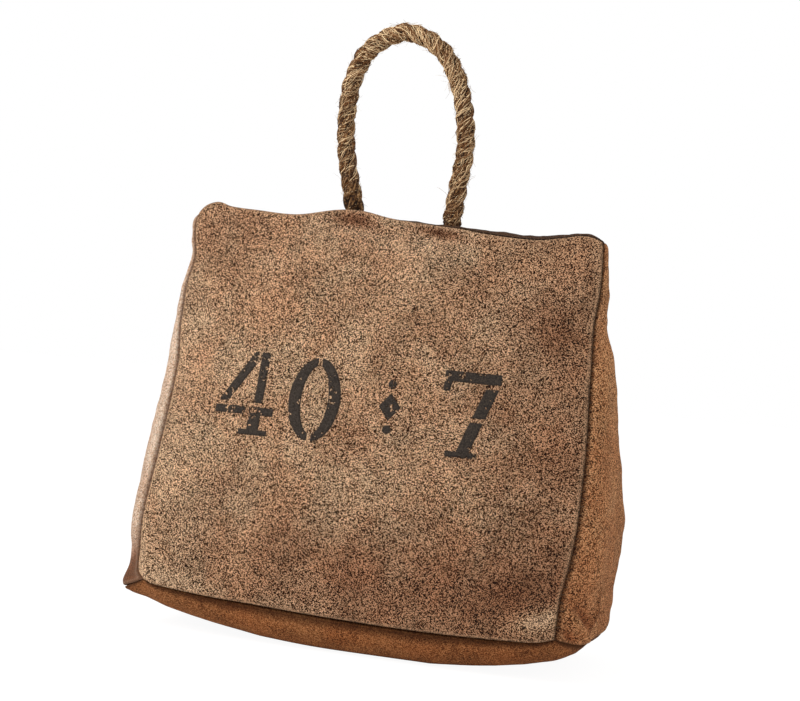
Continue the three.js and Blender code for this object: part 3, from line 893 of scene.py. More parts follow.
@dataclass(frozen=True)
class FibreFinish(Finish):
    """Single jute fibres, each of its own shade."""

    dark: Colour
    golden: Colour
    pale: Colour
    tone_share: float = 0.85
    speck_share: float = 0.2
    speck_scale: float = 500.0

    def nodes(self, sheet: NodeSheet, shelf: GroupShelf, place: Socket) -> dict:
        """Nodes of the fibres. The mesh stores each fibre's tone."""
        speck = sheet.noise(place, self.speck_scale, 2.0, 0.6)
        shade = sheet.math("ADD", sheet.math("MULTIPLY", sheet.attribute("tone"), self.tone_share),
                           sheet.math("MULTIPLY", speck, self.speck_share))
        colour = sheet.ramp(shade, [(0.05, self.dark), (0.5, self.golden), (0.95, self.pale)])
        return {"Base Color": colour, "Roughness": 0.7, "Specular IOR Level": 0.3}


@dataclass(frozen=True)
class WovenFinish(Finish):
    """Plain woven cloth or sewing thread, of crossing threads."""

    light: Colour
    dark: Colour
    pitch: float = 900.0

    def nodes(self, sheet: NodeSheet, shelf: GroupShelf, place: Socket) -> dict:
        """Nodes of the weave."""
        inputs = {"Vector": place, "Scale": self.pitch}
        warp, weft = (sheet.add("ShaderNodeTexWave", inputs, bands_direction=axis).outputs["Fac"]
                      for axis in ("X", "Z"))
        weave = sheet.math("MAXIMUM", warp, weft)
        return {"Base Color": sheet.blend(weave, self.dark, self.light), "Roughness": 0.9,
                "Normal": sheet.bump(0.4, 0.0004, weave)}


@dataclass
class Filling:
    """Cloth simulation in which the filling presses the panels out between their pinned seams."""

    pressure: float = 4.0
    frames: int = 20
    cap: float = 2.2
    spacing: float = 6.5
    grids: dict[Face, Array] = field(default_factory=dict)

    def settle(self, maker: MeshMaker, shape: BagShape) -> None:
        """Runs the simulation and keeps how far each panel's points moved.

        Args:
            maker: Mesh builder.
            shape: The bag's shape.
        """
        points = []
        faces = []
        pinned = []
        sizes = {}
        for face in Face:
            u, v = shape.net(face, self.spacing)
            faces += MeshMaker.quads(*u.shape, sum(map(len, points)), face.outward < 0)
            points.append(shape.face(face, u, v).reshape(-1, 3))
            pinned.append((np.minimum(np.minimum(u, 1 - u), np.minimum(v, 1 - v)) < TINY).ravel())
            sizes[face] = u.shape
        loose = np.concatenate(points)
        _, first, index = np.unique(np.round(loose, 1), axis=0, return_index=True, return_inverse=True)
        index = index.ravel()
        skin = maker.build("settling_skin", loose[first], [[int(index[at]) for at in face] for face in faces])
        group = skin.vertex_groups.new(name="seams")
        group.add([int(at) for at in set(index[np.concatenate(pinned)])], 1.0, "REPLACE")
        moved = self.simulate(skin) - loose[first] - maker.shift
        size = np.linalg.norm(moved, axis=1, keepdims=True)
        moved *= np.minimum(1.0, self.cap / np.maximum(size, TINY))
        start = 0
        for face, (rows, columns) in sizes.items():
            part = index[start:start + rows * columns]
            self.grids[face] = moved[part].reshape(rows, columns, 3)
            start += rows * columns
        LOG.info("filling: points moved %.2f mm at most, %.2f mm on average", size.max(), size.mean())
        bpy.data.objects.remove(skin)

    def simulate(self, skin: Piece) -> Array:
        """Points of the skin after the simulation, in millimetres."""
        cloth = skin.modifiers.new("cloth", "CLOTH")
        cloth.settings.use_pressure = True
        cloth.settings.uniform_pressure_force = self.pressure
        cloth.settings.effector_weights.gravity = 0.0
        cloth.settings.vertex_group_mass = "seams"
        scene = bpy.context.scene
        for frame in range(1, self.frames + 1):
            scene.frame_set(frame)
        result = skin.evaluated_get(bpy.context.evaluated_depsgraph_get()).data
        places = np.empty(len(result.vertices) * 3)
        result.vertices.foreach_get("co", places)
        scene.frame_set(1)
        return places.reshape(-1, 3) / MM

    def push(self, face: Face, u: Array, v: Array) -> Array:
        """Smooth move of a panel's points at the given shares."""
        if face not in self.grids:
            return np.zeros((*u.shape, 3))
        grid = self.grids[face]
        rows, columns = grid.shape[:2]
        across, across_shares = self.spline(u, columns)
        up, up_shares = self.spline(v, rows)
        total = np.zeros((*u.shape, 3))
        for row, row_share in zip(up, up_shares):
            for column, column_share in zip(across, across_shares):
                total += grid[row, column] * (row_share * column_share)[..., None]
        return total

    @staticmethod
    def spline(share: Array, count: int) -> tuple[list[Array], list[Array]]:
        """Four neighbours of each share in an even row of points, and how much each counts."""
        place = np.clip(share, 0, 1) * (count - 1)
        start = np.minimum(place.astype(int), count - 2)
        t = place - start
        before = (3 * t**3 - 6 * t**2 + 4) / 6
        after = (3 * t**2 - 3 * t**3 + 3 * t + 1) / 6
        neighbours = [np.clip(start + step, 0, count - 1) for step in (-1, 0, 1, 2)]
        return neighbours, [(1 - t) ** 3 / 6, before, after, t**3 / 6]


@dataclass
class Bench:
    """What the pieces of the bag are built from."""

    maker: MeshMaker
    shape: BagShape
    filling: Filling


@dataclass
class LeatherPanel:
    """One sewn leather panel, closed and as thick as its leather."""

    node: str
    face: Face
    slot: str
    relief: Relief
    spacing: float = 1.5
    thickness: float = 1.8
    seam_gap: float = 0.12
    stitch_pitch: float = 4.2

    roll_depth: float = 1.8
    roll_width: float = 2.5
    raised: SeamForm = SeamForm(((0, 0), (1, 0)))
    lip: float = 3.2
    lip_middle: float = 0.9
    lip_start: float = 0.1
    # Width and strength of the painted shade in the crease beside each seam.
    crease_shade: float = 1.1
    crease_shade_strength: float = 1.1
    # Where the lighter band of rubbed wear and painted highlight lies on the rolled edge.
    rub_and_highlight_middle: float = 1.2
    rub_and_highlight_width: float = 0.55
    held_middle: float = 1.4
    step: float = 0.002
    free_of_seam: tuple[float, float] = (0.2, 10.0)
    free_of_floor: tuple[float, float] = (0.5, 6.0)
    dent_start: tuple[float, float] = (-0.5, 2.5)
    pucker_start: tuple[float, float] = (0.8, 3.5)
    pucker_length: float = 11.0
    pucker_reach: float = 7.0
    fold_layers: tuple[tuple[float, float, float], ...] = ((64.0, 1.0, 14.0), (19.0, 1.0, 8.0),
                                                           (5.5, 0.5, 3.0))
    edge_places: tuple[float, ...] = (0.0, 0.12, 0.35, 0.7, 1.15, 1.7, 2.35, 3.1, 4.0)
    flat_from: float = 0.97

    def shares(self, span: float) -> Array:
        """Shares across a span: close together in the rolled edge and evenly spaced between."""
        near = np.array(self.edge_places)
        count = max(2, round((span - 2 * near[-1]) / self.spacing))
        middle = np.linspace(near[-1], span - near[-1], count + 1)[1:-1]
        places = np.concatenate([near, middle, span - near[::-1]])
        margin = self.seam_gap / span
        return margin + (1 - 2 * margin) * places / span

    def roll(self, edge: Array, along: Array) -> Array:
        """Push of the rolled edge, less at each stitch."""
        t = np.clip((edge - self.seam_gap) / self.roll_width, 0.0, 1.0)
        dimple = 0.5 + 0.5 * np.cos(TURN * along / self.stitch_pitch)
        held = self.relief.stitch * dimple * np.exp(-((edge - self.held_middle) ** 2))
        return self.roll_depth * np.sqrt(1 - (1 - t) ** 2) - held * np.clip(edge, 0, 1)

    def surface(self, bench: Bench, u: Array, v: Array, inset: float = 0.0) -> tuple[Array, Array]:
        """Points of the panel with its rolled edges, folds and dents.

        Args:
            bench: The bag's shape and filling.
            u: Shares across the panel.
            v: Shares up the panel.
            inset: 0 for the outer face, or the leather's thickness for the inner one.

        Returns:
            The points, and each point's distance from the nearest seam.
        """
        shape = bench.shape
        width, height = shape.spans(self.face)
        points = shape.face(self.face, u, v, inset)
        steps = (-self.step, self.step)
        left, right = (shape.face(self.face, np.clip(u + move, 0, 1), v) for move in steps)
        low, high = (shape.face(self.face, u, np.clip(v + move, 0, 1)) for move in steps)
        normal = unit(np.cross(right - left, high - low)) * self.face.outward
        sides = np.stack([u * width, (1 - u) * width, v * height, (1 - v) * height])
        edge = sides.min(0)
        along = np.where(sides[:2].min(0) < sides[2:].min(0), v * height, u * width)
        rolled = np.array(self.face.value, float) * (self.face is not Face.BASE)
        points = points + rolled * self.roll(edge, along)[..., None]
        if self.face is Face.FRONT:
            below = (1 - v) * height
            near = np.exp(-(((below - self.lip_middle) / self.lip) ** 2))
            for away in (below, edge):
                near = near * smooth_step(away, self.lip_start, self.lip_middle)
            points[..., 2] += self.raised.at(u) * near
        elif self.face is Face.TOP:
            points[..., 2] += self.raised.at(u) * bow(v, 4) * bow(u, 20)
        points = points + normal * self.folds(shape, u, v, edge, along)[..., None]
        swell = bench.filling.push(self.face, u, v) * smooth_step(edge, *self.free_of_seam)[..., None]
        if self.face is Face.BASE:
            swell *= smooth_step(points[..., 2] - inset, *self.free_of_floor)[..., None]
        return points + swell, edge

    def folds(self, shape: BagShape, u: Array, v: Array, edge: Array, along: Array) -> Array:
        """Height of the panel's folds and dents over its smooth form."""
        relief = self.relief
        width, height = shape.spans(self.face)
        flat = np.stack([u * width, v * height], -1)
        total = np.zeros_like(u)
        depths = (relief.broad, relief.middle, relief.fine)
        for number, (depth, (wavelength, start, full)) in enumerate(zip(depths, self.fold_layers)):
            layer = SoftNoise(relief.seed + number, wavelength).at(flat)
            total += depth * layer * smooth_step(edge, start, full)
        wave = SoftNoise(relief.seed + len(self.fold_layers), self.pucker_length).at(along[..., None])
        near = smooth_step(edge, *self.pucker_start) * np.exp(-edge / self.pucker_reach)
        total += relief.pucker * wave * near
        for dent in relief.dents:
            total -= dent.at(u * width, v * height) * smooth_step(edge, *self.dent_start)
        if self.face is Face.BASE:
            resting = shape.resting(u, v)
            total = np.where(resting > self.flat_from, 0.0, total * (1 - resting))
        return total

    def build(self, bench: Bench, material: Material) -> Piece:
        """Panel object that stands for its solid.

        Args:
            bench: The mesh builder, and the bag's shape and filling.
            material: The leather.

        Returns:
            The piece.
        """
        width, height = bench.shape.spans(self.face)
        u, v = np.meshgrid(self.shares(width), self.shares(height))
        outer, edge = self.surface(bench, u, v)
        inner, _ = self.surface(bench, u, v, self.thickness)
        rows, columns = u.shape
        count = rows * columns
        flip = self.face.outward < 0
        faces = MeshMaker.quads(rows, columns, 0, flip)
        faces += MeshMaker.quads(rows, columns, count, not flip)
        rim = MeshMaker.rim(rows, columns)
        for start, end in zip(rim, rim[1:] + rim[:1]):
            side = [start, start + count, end + count, end]
            faces.append(side[::-1] if flip else side)
        points = np.concatenate([outer.reshape(-1, 3), inner.reshape(-1, 3)])
        piece = bench.maker.build(self.node + "_leather", points, faces)
        # Tone of each point from its spots: the leather's own patches, painted shade and painted highlight.
        tone = sum((spot.at(u * width, v * height) for spot in self.relief.tone_and_shade_spots), np.zeros_like(u))
        self.mark(piece, bench.maker, edge.ravel(), tone.ravel())
        dress(piece, material, self.node)
        LOG.info("%s: %d faces", piece.name, len(faces))
        return piece

    def mark(self, piece: Piece, maker: MeshMaker, edge: Array, tone: Array) -> None:
        """Stores where the leather is rubbed and painted with highlight at its rolled edge, where painted
        shade lies in the crease, and its tone with painted shade and painted highlight.
        """
        rubbed = np.exp(-(((edge - self.rub_and_highlight_middle) / self.rub_and_highlight_width) ** 2))
        crease_shade = np.clip(self.crease_shade_strength - edge / self.crease_shade, 0, 1)
        for name, values in (("edge_wear_and_highlight", rubbed), ("crease_shade", crease_shade), ("tone", tone)):
            maker.mark(piece, name, np.concatenate([values, np.zeros_like(values)]))


@dataclass
class SandSack:
    """The sealed sack of sand that fills the bag, with hollows for the rope's knots."""

    inset: float = 2.5
    spacing: float = 5.0
    weld: float = 0.15
    knot_radius: float = 9.6
    knot_half_length: float = 9.5

    def build(self, bench: Bench, panels: list[LeatherPanel], knots: list[tuple[Array, Array]],
              material: Material) -> None:
        """Makes the closed sack just inside the leather.

        Args:
            bench: The mesh builder, and the bag's shape and filling.
            panels: The leather panels.
            knots: Middle and direction of each of the rope's knots.
            material: The sack's cloth.
        """
        points = []
        faces = []
        for panel in panels:
            u, v = bench.shape.net(panel.face, self.spacing)
            skin, _ = panel.surface(bench, u, v, self.inset)
            faces += MeshMaker.quads(*u.shape, sum(map(len, points)), panel.face.outward < 0)
            points.append(skin.reshape(-1, 3))
        piece = bench.maker.build("sand_sack_cloth", np.concatenate(points), faces)
        skin = bmesh.new()
        skin.from_mesh(piece.data)
        bmesh.ops.remove_doubles(skin, verts=skin.verts, dist=self.weld * MM)
        bmesh.ops.recalc_face_normals(skin, faces=skin.faces)
        open_edges = sum(edge.is_boundary for edge in skin.edges)
        LOG.info("sand_sack_cloth: %d open edges", open_edges)
        skin.to_mesh(piece.data)
        skin.free()
        for middle, direction in knots:
            bench.maker.cut(piece, middle, direction, self.knot_radius, self.knot_half_length)
        dress(piece, material, "sand_sack")


@dataclass(frozen=True)
class Strand:
    """Centre and turning frame of one strand of the rope, at even steps along it."""

    along: Array
    middle: Array
    radial: Array
    aside: Array

    def at(self, place: Array) -> tuple[Array, Array, Array]:
        """Centre, outward direction and sideways direction at each place along the rope."""
        return tuple(
            np.stack([np.interp(place, self.along, values[:, axis]) for axis in range(3)], -1)
            for values in (self.middle, self.radial, self.aside)
        )


@dataclass
class RopeHandle:
    """Loop of three-strand rope whose ends swell into knots inside the bag."""

    base_height: float
    diameter: float = 10.0
    lay: float = 28.0
    yarn_turn: float = 25.0
    strands: int = 3
    helix_radius: float = 2.3
    strand_radius: float = 2.88
    yarns: int = 8
    yarn_depth: float = 0.3
    knot_diameter: float = 17.0
    knot_length: float = 15.0
    foot_swell: float = 0.16
    step: float = 0.7
    sides: int = 32
    yarn_width: float = 1.6
    yarn_stretch: float = 9.0
    yarn_shift: float = 7.0
    twist_looseness: float = 0.07
    lumpiness: float = 0.035
    aside_share: float = 1.04
    foot_height: float = 15.0
    foot_reach: float = 7.0
    right_foot_share: float = 0.4
    fibres: int = 3300
    fibre_steps: int = 10
    fibre_start: float = 6.0
    fibre_length: tuple[float, float] = (6.0, 22.0)
    fibre_turn: tuple[float, float] = (-0.9, 2.3)
    fibre_wander: float = 0.5
    fibre_lift: tuple[float, float] = (-0.2, 0.2)
    fibre_free: float = 0.28
    fibre_radius: tuple[float, float] = (0.13, 0.36)
    fibre_tones: tuple[float, float] = (0.55, 0.6)
    crown_height: float = 112.0
    crown_tone: float = 0.3
    hairs: int = 420
    hair_steps: int = 7
    hair_start: float = 12.0
    hair_spread: float = 0.8
    hair_length: tuple[float, float] = (1.5, 7.0)
    hair_lift: tuple[float, float] = (0.02, 0.5)
    hair_curl: float = 0.35
    hair_radius: tuple[float, float] = (0.045, 0.085)
    hair_tones: tuple[float, float] = (0.45, 1.0)
    route: tuple[tuple[float, float], ...] = (
        (-27.4, -9), (-28.2, 6), (-31.4, 21), (-36.5, 42), (-38.2, 65), (-36, 85), (-27.8, 101.8),
        (-8, 112.6), (11.8, 106), (23.6, 91.5), (30.8, 70.5), (33.3, 49), (31.2, 29), (29.2, 7), (28.6, -11),
    )

    def __post_init__(self) -> None:
        """Finds the rope's centre and its strands."""
        self.centre, self.tangent, self.along = self.centreline()
        self.across = np.array([0.0, 1.0, 0.0])
        self.normal = unit(np.cross(self.across, self.tangent))
        self.swell = self.swelling()
        self.twisted = [self.strand(number) for number in range(self.strands)]

    def centreline(self) -> tuple[Array, Array, Array]:
        """Evenly spaced points of the rope's centre.

        Returns:
            The points, their directions, and their distance along the rope.
        """
        knots = np.array([(x, 0.0, self.base_height + rise) for x, rise in self.route])
        knots = np.vstack([2 * knots[0] - knots[1], knots, 2 * knots[-1] - knots[-2]])
        pieces = []
        for first, start, end, last in zip(knots, knots[1:], knots[2:], knots[3:]):
            gaps = [np.linalg.norm(b - a) ** 0.5 for a, b in ((first, start), (start, end), (end, last))]
            leave = (start - first) / gaps[0] - (end - first) / (gaps[0] + gaps[1]) + (end - start) / gaps[1]
            arrive = (end - start) / gaps[1] - (last - start) / (gaps[1] + gaps[2]) + (last - end) / gaps[2]
            t = np.linspace(0, 1, 60, endpoint=False)[:, None]
            pieces.append(curve(t, start, end, leave * gaps[1], arrive * gaps[1]))
        dense = np.vstack([*pieces, knots[-2][None]])
        reach = np.concatenate([[0], np.cumsum(np.linalg.norm(np.diff(dense, axis=0), axis=1))])
        along = np.linspace(0, reach[-1], round(reach[-1] / self.step) + 1)
        points = np.stack([np.interp(along, reach, dense[:, axis]) for axis in range(3)], -1)
        return points, unit(np.gradient(points, axis=0)), along

    def swelling(self) -> Array:
        """How much thicker the rope is at each place than between its knots."""
        from_end = np.minimum(self.along, self.along[-1] - self.along)
        place = 2 * from_end / self.knot_length - 1
        knot = self.knot_diameter * np.sqrt(np.maximum(0.0, 1 - 0.8 * place**2)) / self.diameter
        above = self.centre[:, 2] - self.base_height
        left = self.centre[:, 0] < 0
        near = np.exp(-(((above - self.foot_height) / self.foot_reach) ** 2))
        foot = 1 + self.foot_swell * near * np.where(left, 1.0, self.right_foot_share)
        return np.where(place < 1, np.maximum(knot, 1.0), foot)

    def strand(self, number: int) -> Strand:
        """One of the strands."""
        loose = SoftNoise(41 + number, 23.0).at(self.along[:, None])
        turn = TURN * number / self.strands - TURN * self.along / self.lay + self.twist_looseness * loose
        radial = self.normal * np.cos(turn)[:, None] - self.across * np.sin(turn)[:, None]
        middle = self.centre + radial * (self.helix_radius * self.swell)[:, None]
        direction = unit(np.gradient(middle, axis=0))
        return Strand(self.along, middle, radial, unit(np.cross(direction, radial)))

    def knots(self) -> list[tuple[Array, Array]]:
        """Middle and direction of each knot."""
        at = int(round(self.knot_length / 2 / self.step))
        return [(self.centre[at], self.tangent[at]), (self.centre[-1 - at], self.tangent[-1 - at])]

    def feet(self) -> list[tuple[Array, Array]]:
        """Where the rope goes through the top panel, and in which direction."""
        above = self.centre[:, 2] > self.base_height + 4
        ends = (int(above.argmax()), len(above) - 1 - int(above[::-1].argmax()))
        return [(self.centre[at], self.tangent[at]) for at in ends]

    def build(self, maker: MeshMaker, material: Material) -> None:
        """Makes the rope that stands for its solid.

        Args:
            maker: Mesh builder.
            material: The jute.
        """
        points = []
        faces = []
        lays = []
        lit_crests = []
        section = np.arange(self.sides) * TURN / self.sides
        for number, strand in enumerate(self.twisted):
            drift = section[None] + TURN * self.along[:, None] / self.yarn_turn
            yarn = np.abs(np.cos(self.yarns * drift / 2))
            lump = SoftNoise(91 + number, 13.0).at(self.along[:, None])
            thick = self.strand_radius * (1 + self.lumpiness * lump)
            radius = (thick[:, None] - self.yarn_depth * (1 - yarn)) * self.swell[:, None]
            ring = strand.middle[:, None] + strand.radial[:, None] * (radius * np.cos(section))[..., None]
            wide = radius * self.aside_share * np.sin(section)
            ring = ring + strand.aside[:, None] * wide[..., None]
            faces += self.tube_faces(len(self.along), sum(map(len, points)))
            points.append(ring.reshape(-1, 3))
            # How far out each point stands, stored for painted shade in the grooves between strands and
            # yarns.
            reach = np.linalg.norm(ring - self.centre[:, None], axis=-1)
            reach = reach / (self.diameter / 2 * self.swell[:, None])
            lit_crests.append((np.clip((reach - 0.5) / 0.5, 0, 1) * (0.55 + 0.45 * yarn)).ravel())
            lays.append(np.stack([drift * self.yarns / TURN * self.yarn_width,
                                  np.broadcast_to(self.along[:, None] / self.yarn_stretch, drift.shape),
                                  np.full(drift.shape, number * self.yarn_shift)], -1).reshape(-1, 3))
        piece = maker.build("rope_handle_strands", np.concatenate(points), faces)
        maker.mark(piece, "lay", np.concatenate(lays))
        maker.mark(piece, "lit_crest", np.concatenate(lit_crests))
        dress(piece, material, "rope_handle")
        LOG.info("%s: %d faces, %.0f mm long", piece.name, len(faces), self.along[-1])

    def tube_faces(self, rings: int, offset: int) -> list:
        """Faces of one strand with its two end caps."""
        start = offset + np.arange(rings - 1)[:, None] * self.sides
        beside = start + (np.arange(self.sides) + 1) % self.sides
        start = start + np.arange(self.sides)
        walls = np.stack([start, beside, beside + self.sides, start + self.sides], -1).reshape(-1, 4).tolist()
        first = list(range(offset, offset + self.sides))
        last = [offset + (rings - 1) * self.sides + at for at in range(self.sides)]
        return walls + [first[::-1], last]

    def build_fibres(self, maker: MeshMaker, material: Material) -> None:
        """Makes coarse fibres that lie in the twist of the strands, with some ends standing off.

        Args:
            maker: Mesh builder.
            material: The fibre.
        """
        rng = np.random.default_rng(12)
        visible = self.along[self.centre[:, 2] > self.base_height + self.fibre_start]
        share = np.linspace(0, 1, self.fibre_steps)
        count = self.fibres // self.strands
        curves = []
        for strand in self.twisted:
            start = rng.uniform(visible[0], visible[-1], count)[:, None]
            place = np.minimum(start + rng.uniform(*self.fibre_length, count)[:, None] * share, visible[-1])
            turns = TURN * place / self.yarn_turn * rng.uniform(*self.fibre_turn, count)[:, None]
            angle = rng.uniform(0, TURN, count)[:, None] + turns
            wander = rng.normal(0, self.fibre_wander, count)[:, None]
            angle = angle + wander * np.sin(TURN * share + rng.uniform(0, 6))
            lift = rng.uniform(*self.fibre_lift, count)[:, None]
            free = rng.exponential(self.fibre_free, count)[:, None] * share**4
            middle, radial, aside = strand.at(place)
            reach = self.strand_radius + lift + free
            outward = radial * np.cos(angle)[..., None] + aside * np.sin(angle)[..., None]
            curves.append(middle + outward * reach[..., None])
        lines = np.concatenate(curves)
        thickness = rng.uniform(*self.fibre_radius, len(lines))
        height = lines[:, self.fibre_steps // 2, 2] - self.base_height
        crown = np.clip(height / self.crown_height, 0, 1)
        tone = np.clip(rng.beta(*self.fibre_tones, len(lines)) + self.crown_tone * crown**3, 0, 1)
        piece = self.tubes(maker, "rope_handle_fibres", lines, thickness, tone)
        dress(piece, material)
        LOG.info("%s: %d fibres", piece.name, len(lines))

    def build_hairs(self, maker: MeshMaker, material: Material) -> None:
        """Makes thin loose hairs that curl off the rope.

        Args:
            maker: Mesh builder.
            material: The fibre.
        """
        rng = np.random.default_rng(5)
        count = self.hairs
        share = np.linspace(0, 1, self.hair_steps)[None, :, None]
        visible = np.flatnonzero(self.centre[:, 2] > self.base_height + self.hair_start)[2:-2]
        index = rng.choice(visible, count)
        angle = rng.uniform(0, TURN, count)[:, None]
        outward = self.normal[index] * np.cos(angle) + self.across * np.sin(angle)
        aside = np.cross(self.tangent[index], outward)
        heading = self.tangent[index] * rng.choice([-1.0, 1.0], count)[:, None]
        heading = unit(heading + aside * rng.normal(0, self.hair_spread, count)[:, None])
        length = rng.uniform(*self.hair_length, count)[:, None]
        lift = rng.uniform(*self.hair_lift, count)[:, None] * length
        curl = rng.normal(0, self.hair_curl, count)[:, None] * length
        root = self.centre[index] + outward * self.diameter * 0.5
        lines = root[:, None] + (heading * length)[:, None] * share + (outward * lift)[:, None] * share**2
        lines = lines + (aside * curl)[:, None] * share**2
        thickness = rng.uniform(*self.hair_radius, count)
        tone = rng.uniform(*self.hair_tones, count)
        piece = self.tubes(maker, "rope_handle_hairs", lines, thickness, tone)
        dress(piece, material)

    @staticmethod
    def tubes(maker: MeshMaker, name: str, lines: Array, thickness: Array, tone: Array) -> Piece:
        """Thin tapering tubes along many lines, as one object.

        Args:
            maker: Mesh builder.
            name: The piece's name.
            lines: Points of each line.
            thickness: Radius of each tube.
            tone: Shade of each tube, from 0 to 1.

        Returns:
            The object.
        """
        count, steps = lines.shape[:2]
        heading = unit(np.gradient(lines, axis=1))
        aside = unit(np.cross(heading, np.array([0.31, 0.86, 0.4])))
        above = np.cross(heading, aside)
        taper = thickness[:, None] * (1 - 0.6 * np.abs(np.linspace(-1, 1, steps)) ** 3)
        sides = 3
        turn = np.arange(sides) * TURN / sides
        ring = lines[:, :, None] + (aside[:, :, None] * np.cos(turn)[:, None]
                                    + above[:, :, None] * np.sin(turn)[:, None]) * taper[:, :, None, None]
        start = (np.arange(count)[:, None, None] * steps + np.arange(steps - 1)[:, None]) * sides
        here = start + np.arange(sides)
        beside = start + (np.arange(sides) + 1) % sides
        walls = np.stack([here, beside, beside + sides, here + sides], -1).reshape(-1, 4).tolist()
        first = np.arange(count)[:, None] * steps * sides + np.array([2, 1, 0])
        last = np.arange(count)[:, None] * steps * sides + (steps - 1) * sides + np.array([0, 1, 2])
        piece = maker.build(name, ring.reshape(-1, 3), walls + first.tolist() + last.tolist())
        maker.mark(piece, "tone", np.repeat(tone, steps * sides))
        return piece


class Edge(Enum):
    """The four edges of a panel's own grid."""

    LEFT = (0, 0)
    RIGHT = (0, 1)
    LOW = (1, 0)
    HIGH = (1, 1)

    def place(self, share: Array, reach: float, spans: tuple[float, float]) -> tuple[Array, Array]:
        """Shares of the points that lie a small reach in from this edge, at each share along it."""
        axis, end = self.value
        inside = np.full_like(share, abs(end - reach / spans[axis]))
        return (share, inside) if axis else (inside, share)


@dataclass
class SeamThread:
    """Stitches that hold the panels together, each an arched thread across its seam."""

    pitch: float = 4.2
    reach: float = 0.8
    radius: float = 0.2
    arch: float = 0.1
    margin: float = 5.0
    steps: int = 7
    upward_share: float = 0.4
    seams: tuple[tuple[Face, Edge, Face, Edge], ...] = (
        (Face.FRONT, Edge.LEFT, Face.LEFT, Edge.LEFT),
        (Face.FRONT, Edge.RIGHT, Face.RIGHT, Edge.LEFT),
        (Face.BACK, Edge.LEFT, Face.LEFT, Edge.RIGHT),
        (Face.BACK, Edge.RIGHT, Face.RIGHT, Edge.RIGHT),
        (Face.FRONT, Edge.HIGH, Face.TOP, Edge.LOW),
        (Face.BACK, Edge.HIGH, Face.TOP, Edge.HIGH),
    )

    def build(self, bench: Bench, panels: list[LeatherPanel], material: Material) -> None:
        """Makes all the stitches as one piece.

        Args:
            bench: The mesh builder, and the bag's shape and filling.
            panels: The leather panels.
            material: The thread.
        """
        shape = bench.shape
        by_face = {panel.face: panel for panel in panels}
        middle = np.array([0, 0, shape.top_seam_height / 2])
        t = np.linspace(0, 1, self.steps)[:, None]
        lines = []
        for first, first_edge, second, second_edge in self.seams:
            length = shape.spans(first)[1 - first_edge.value[0]]
            count = int((length - 2 * self.margin) / self.pitch)
            share = (self.margin + self.pitch * (np.arange(count) + 0.5)) / length
            ends = []
            for face, edge in ((first, first_edge), (second, second_edge)):
                u, v = edge.place(share, self.reach, shape.spans(face))
                ends.append(by_face[face].surface(bench, u, v)[0])
            start, end = ends
            outward = start + end - 2 * middle
            outward[:, 2] *= self.upward_share
            outward = unit(outward)
            line = start[:, None] * (1 - t) + end[:, None] * t
            lines.append(line + outward[:, None] * (self.arch * np.sin(math.pi * t)))
        every = np.concatenate(lines)
        tone = np.random.default_rng(3).uniform(0.2, 1, len(every))
        radii = np.full(len(every), self.radius)
        piece = RopeHandle.tubes(bench.maker, "seam_thread", every, radii, tone)
        dress(piece, material)
        LOG.info("%s: %d stitches", piece.name, len(every))


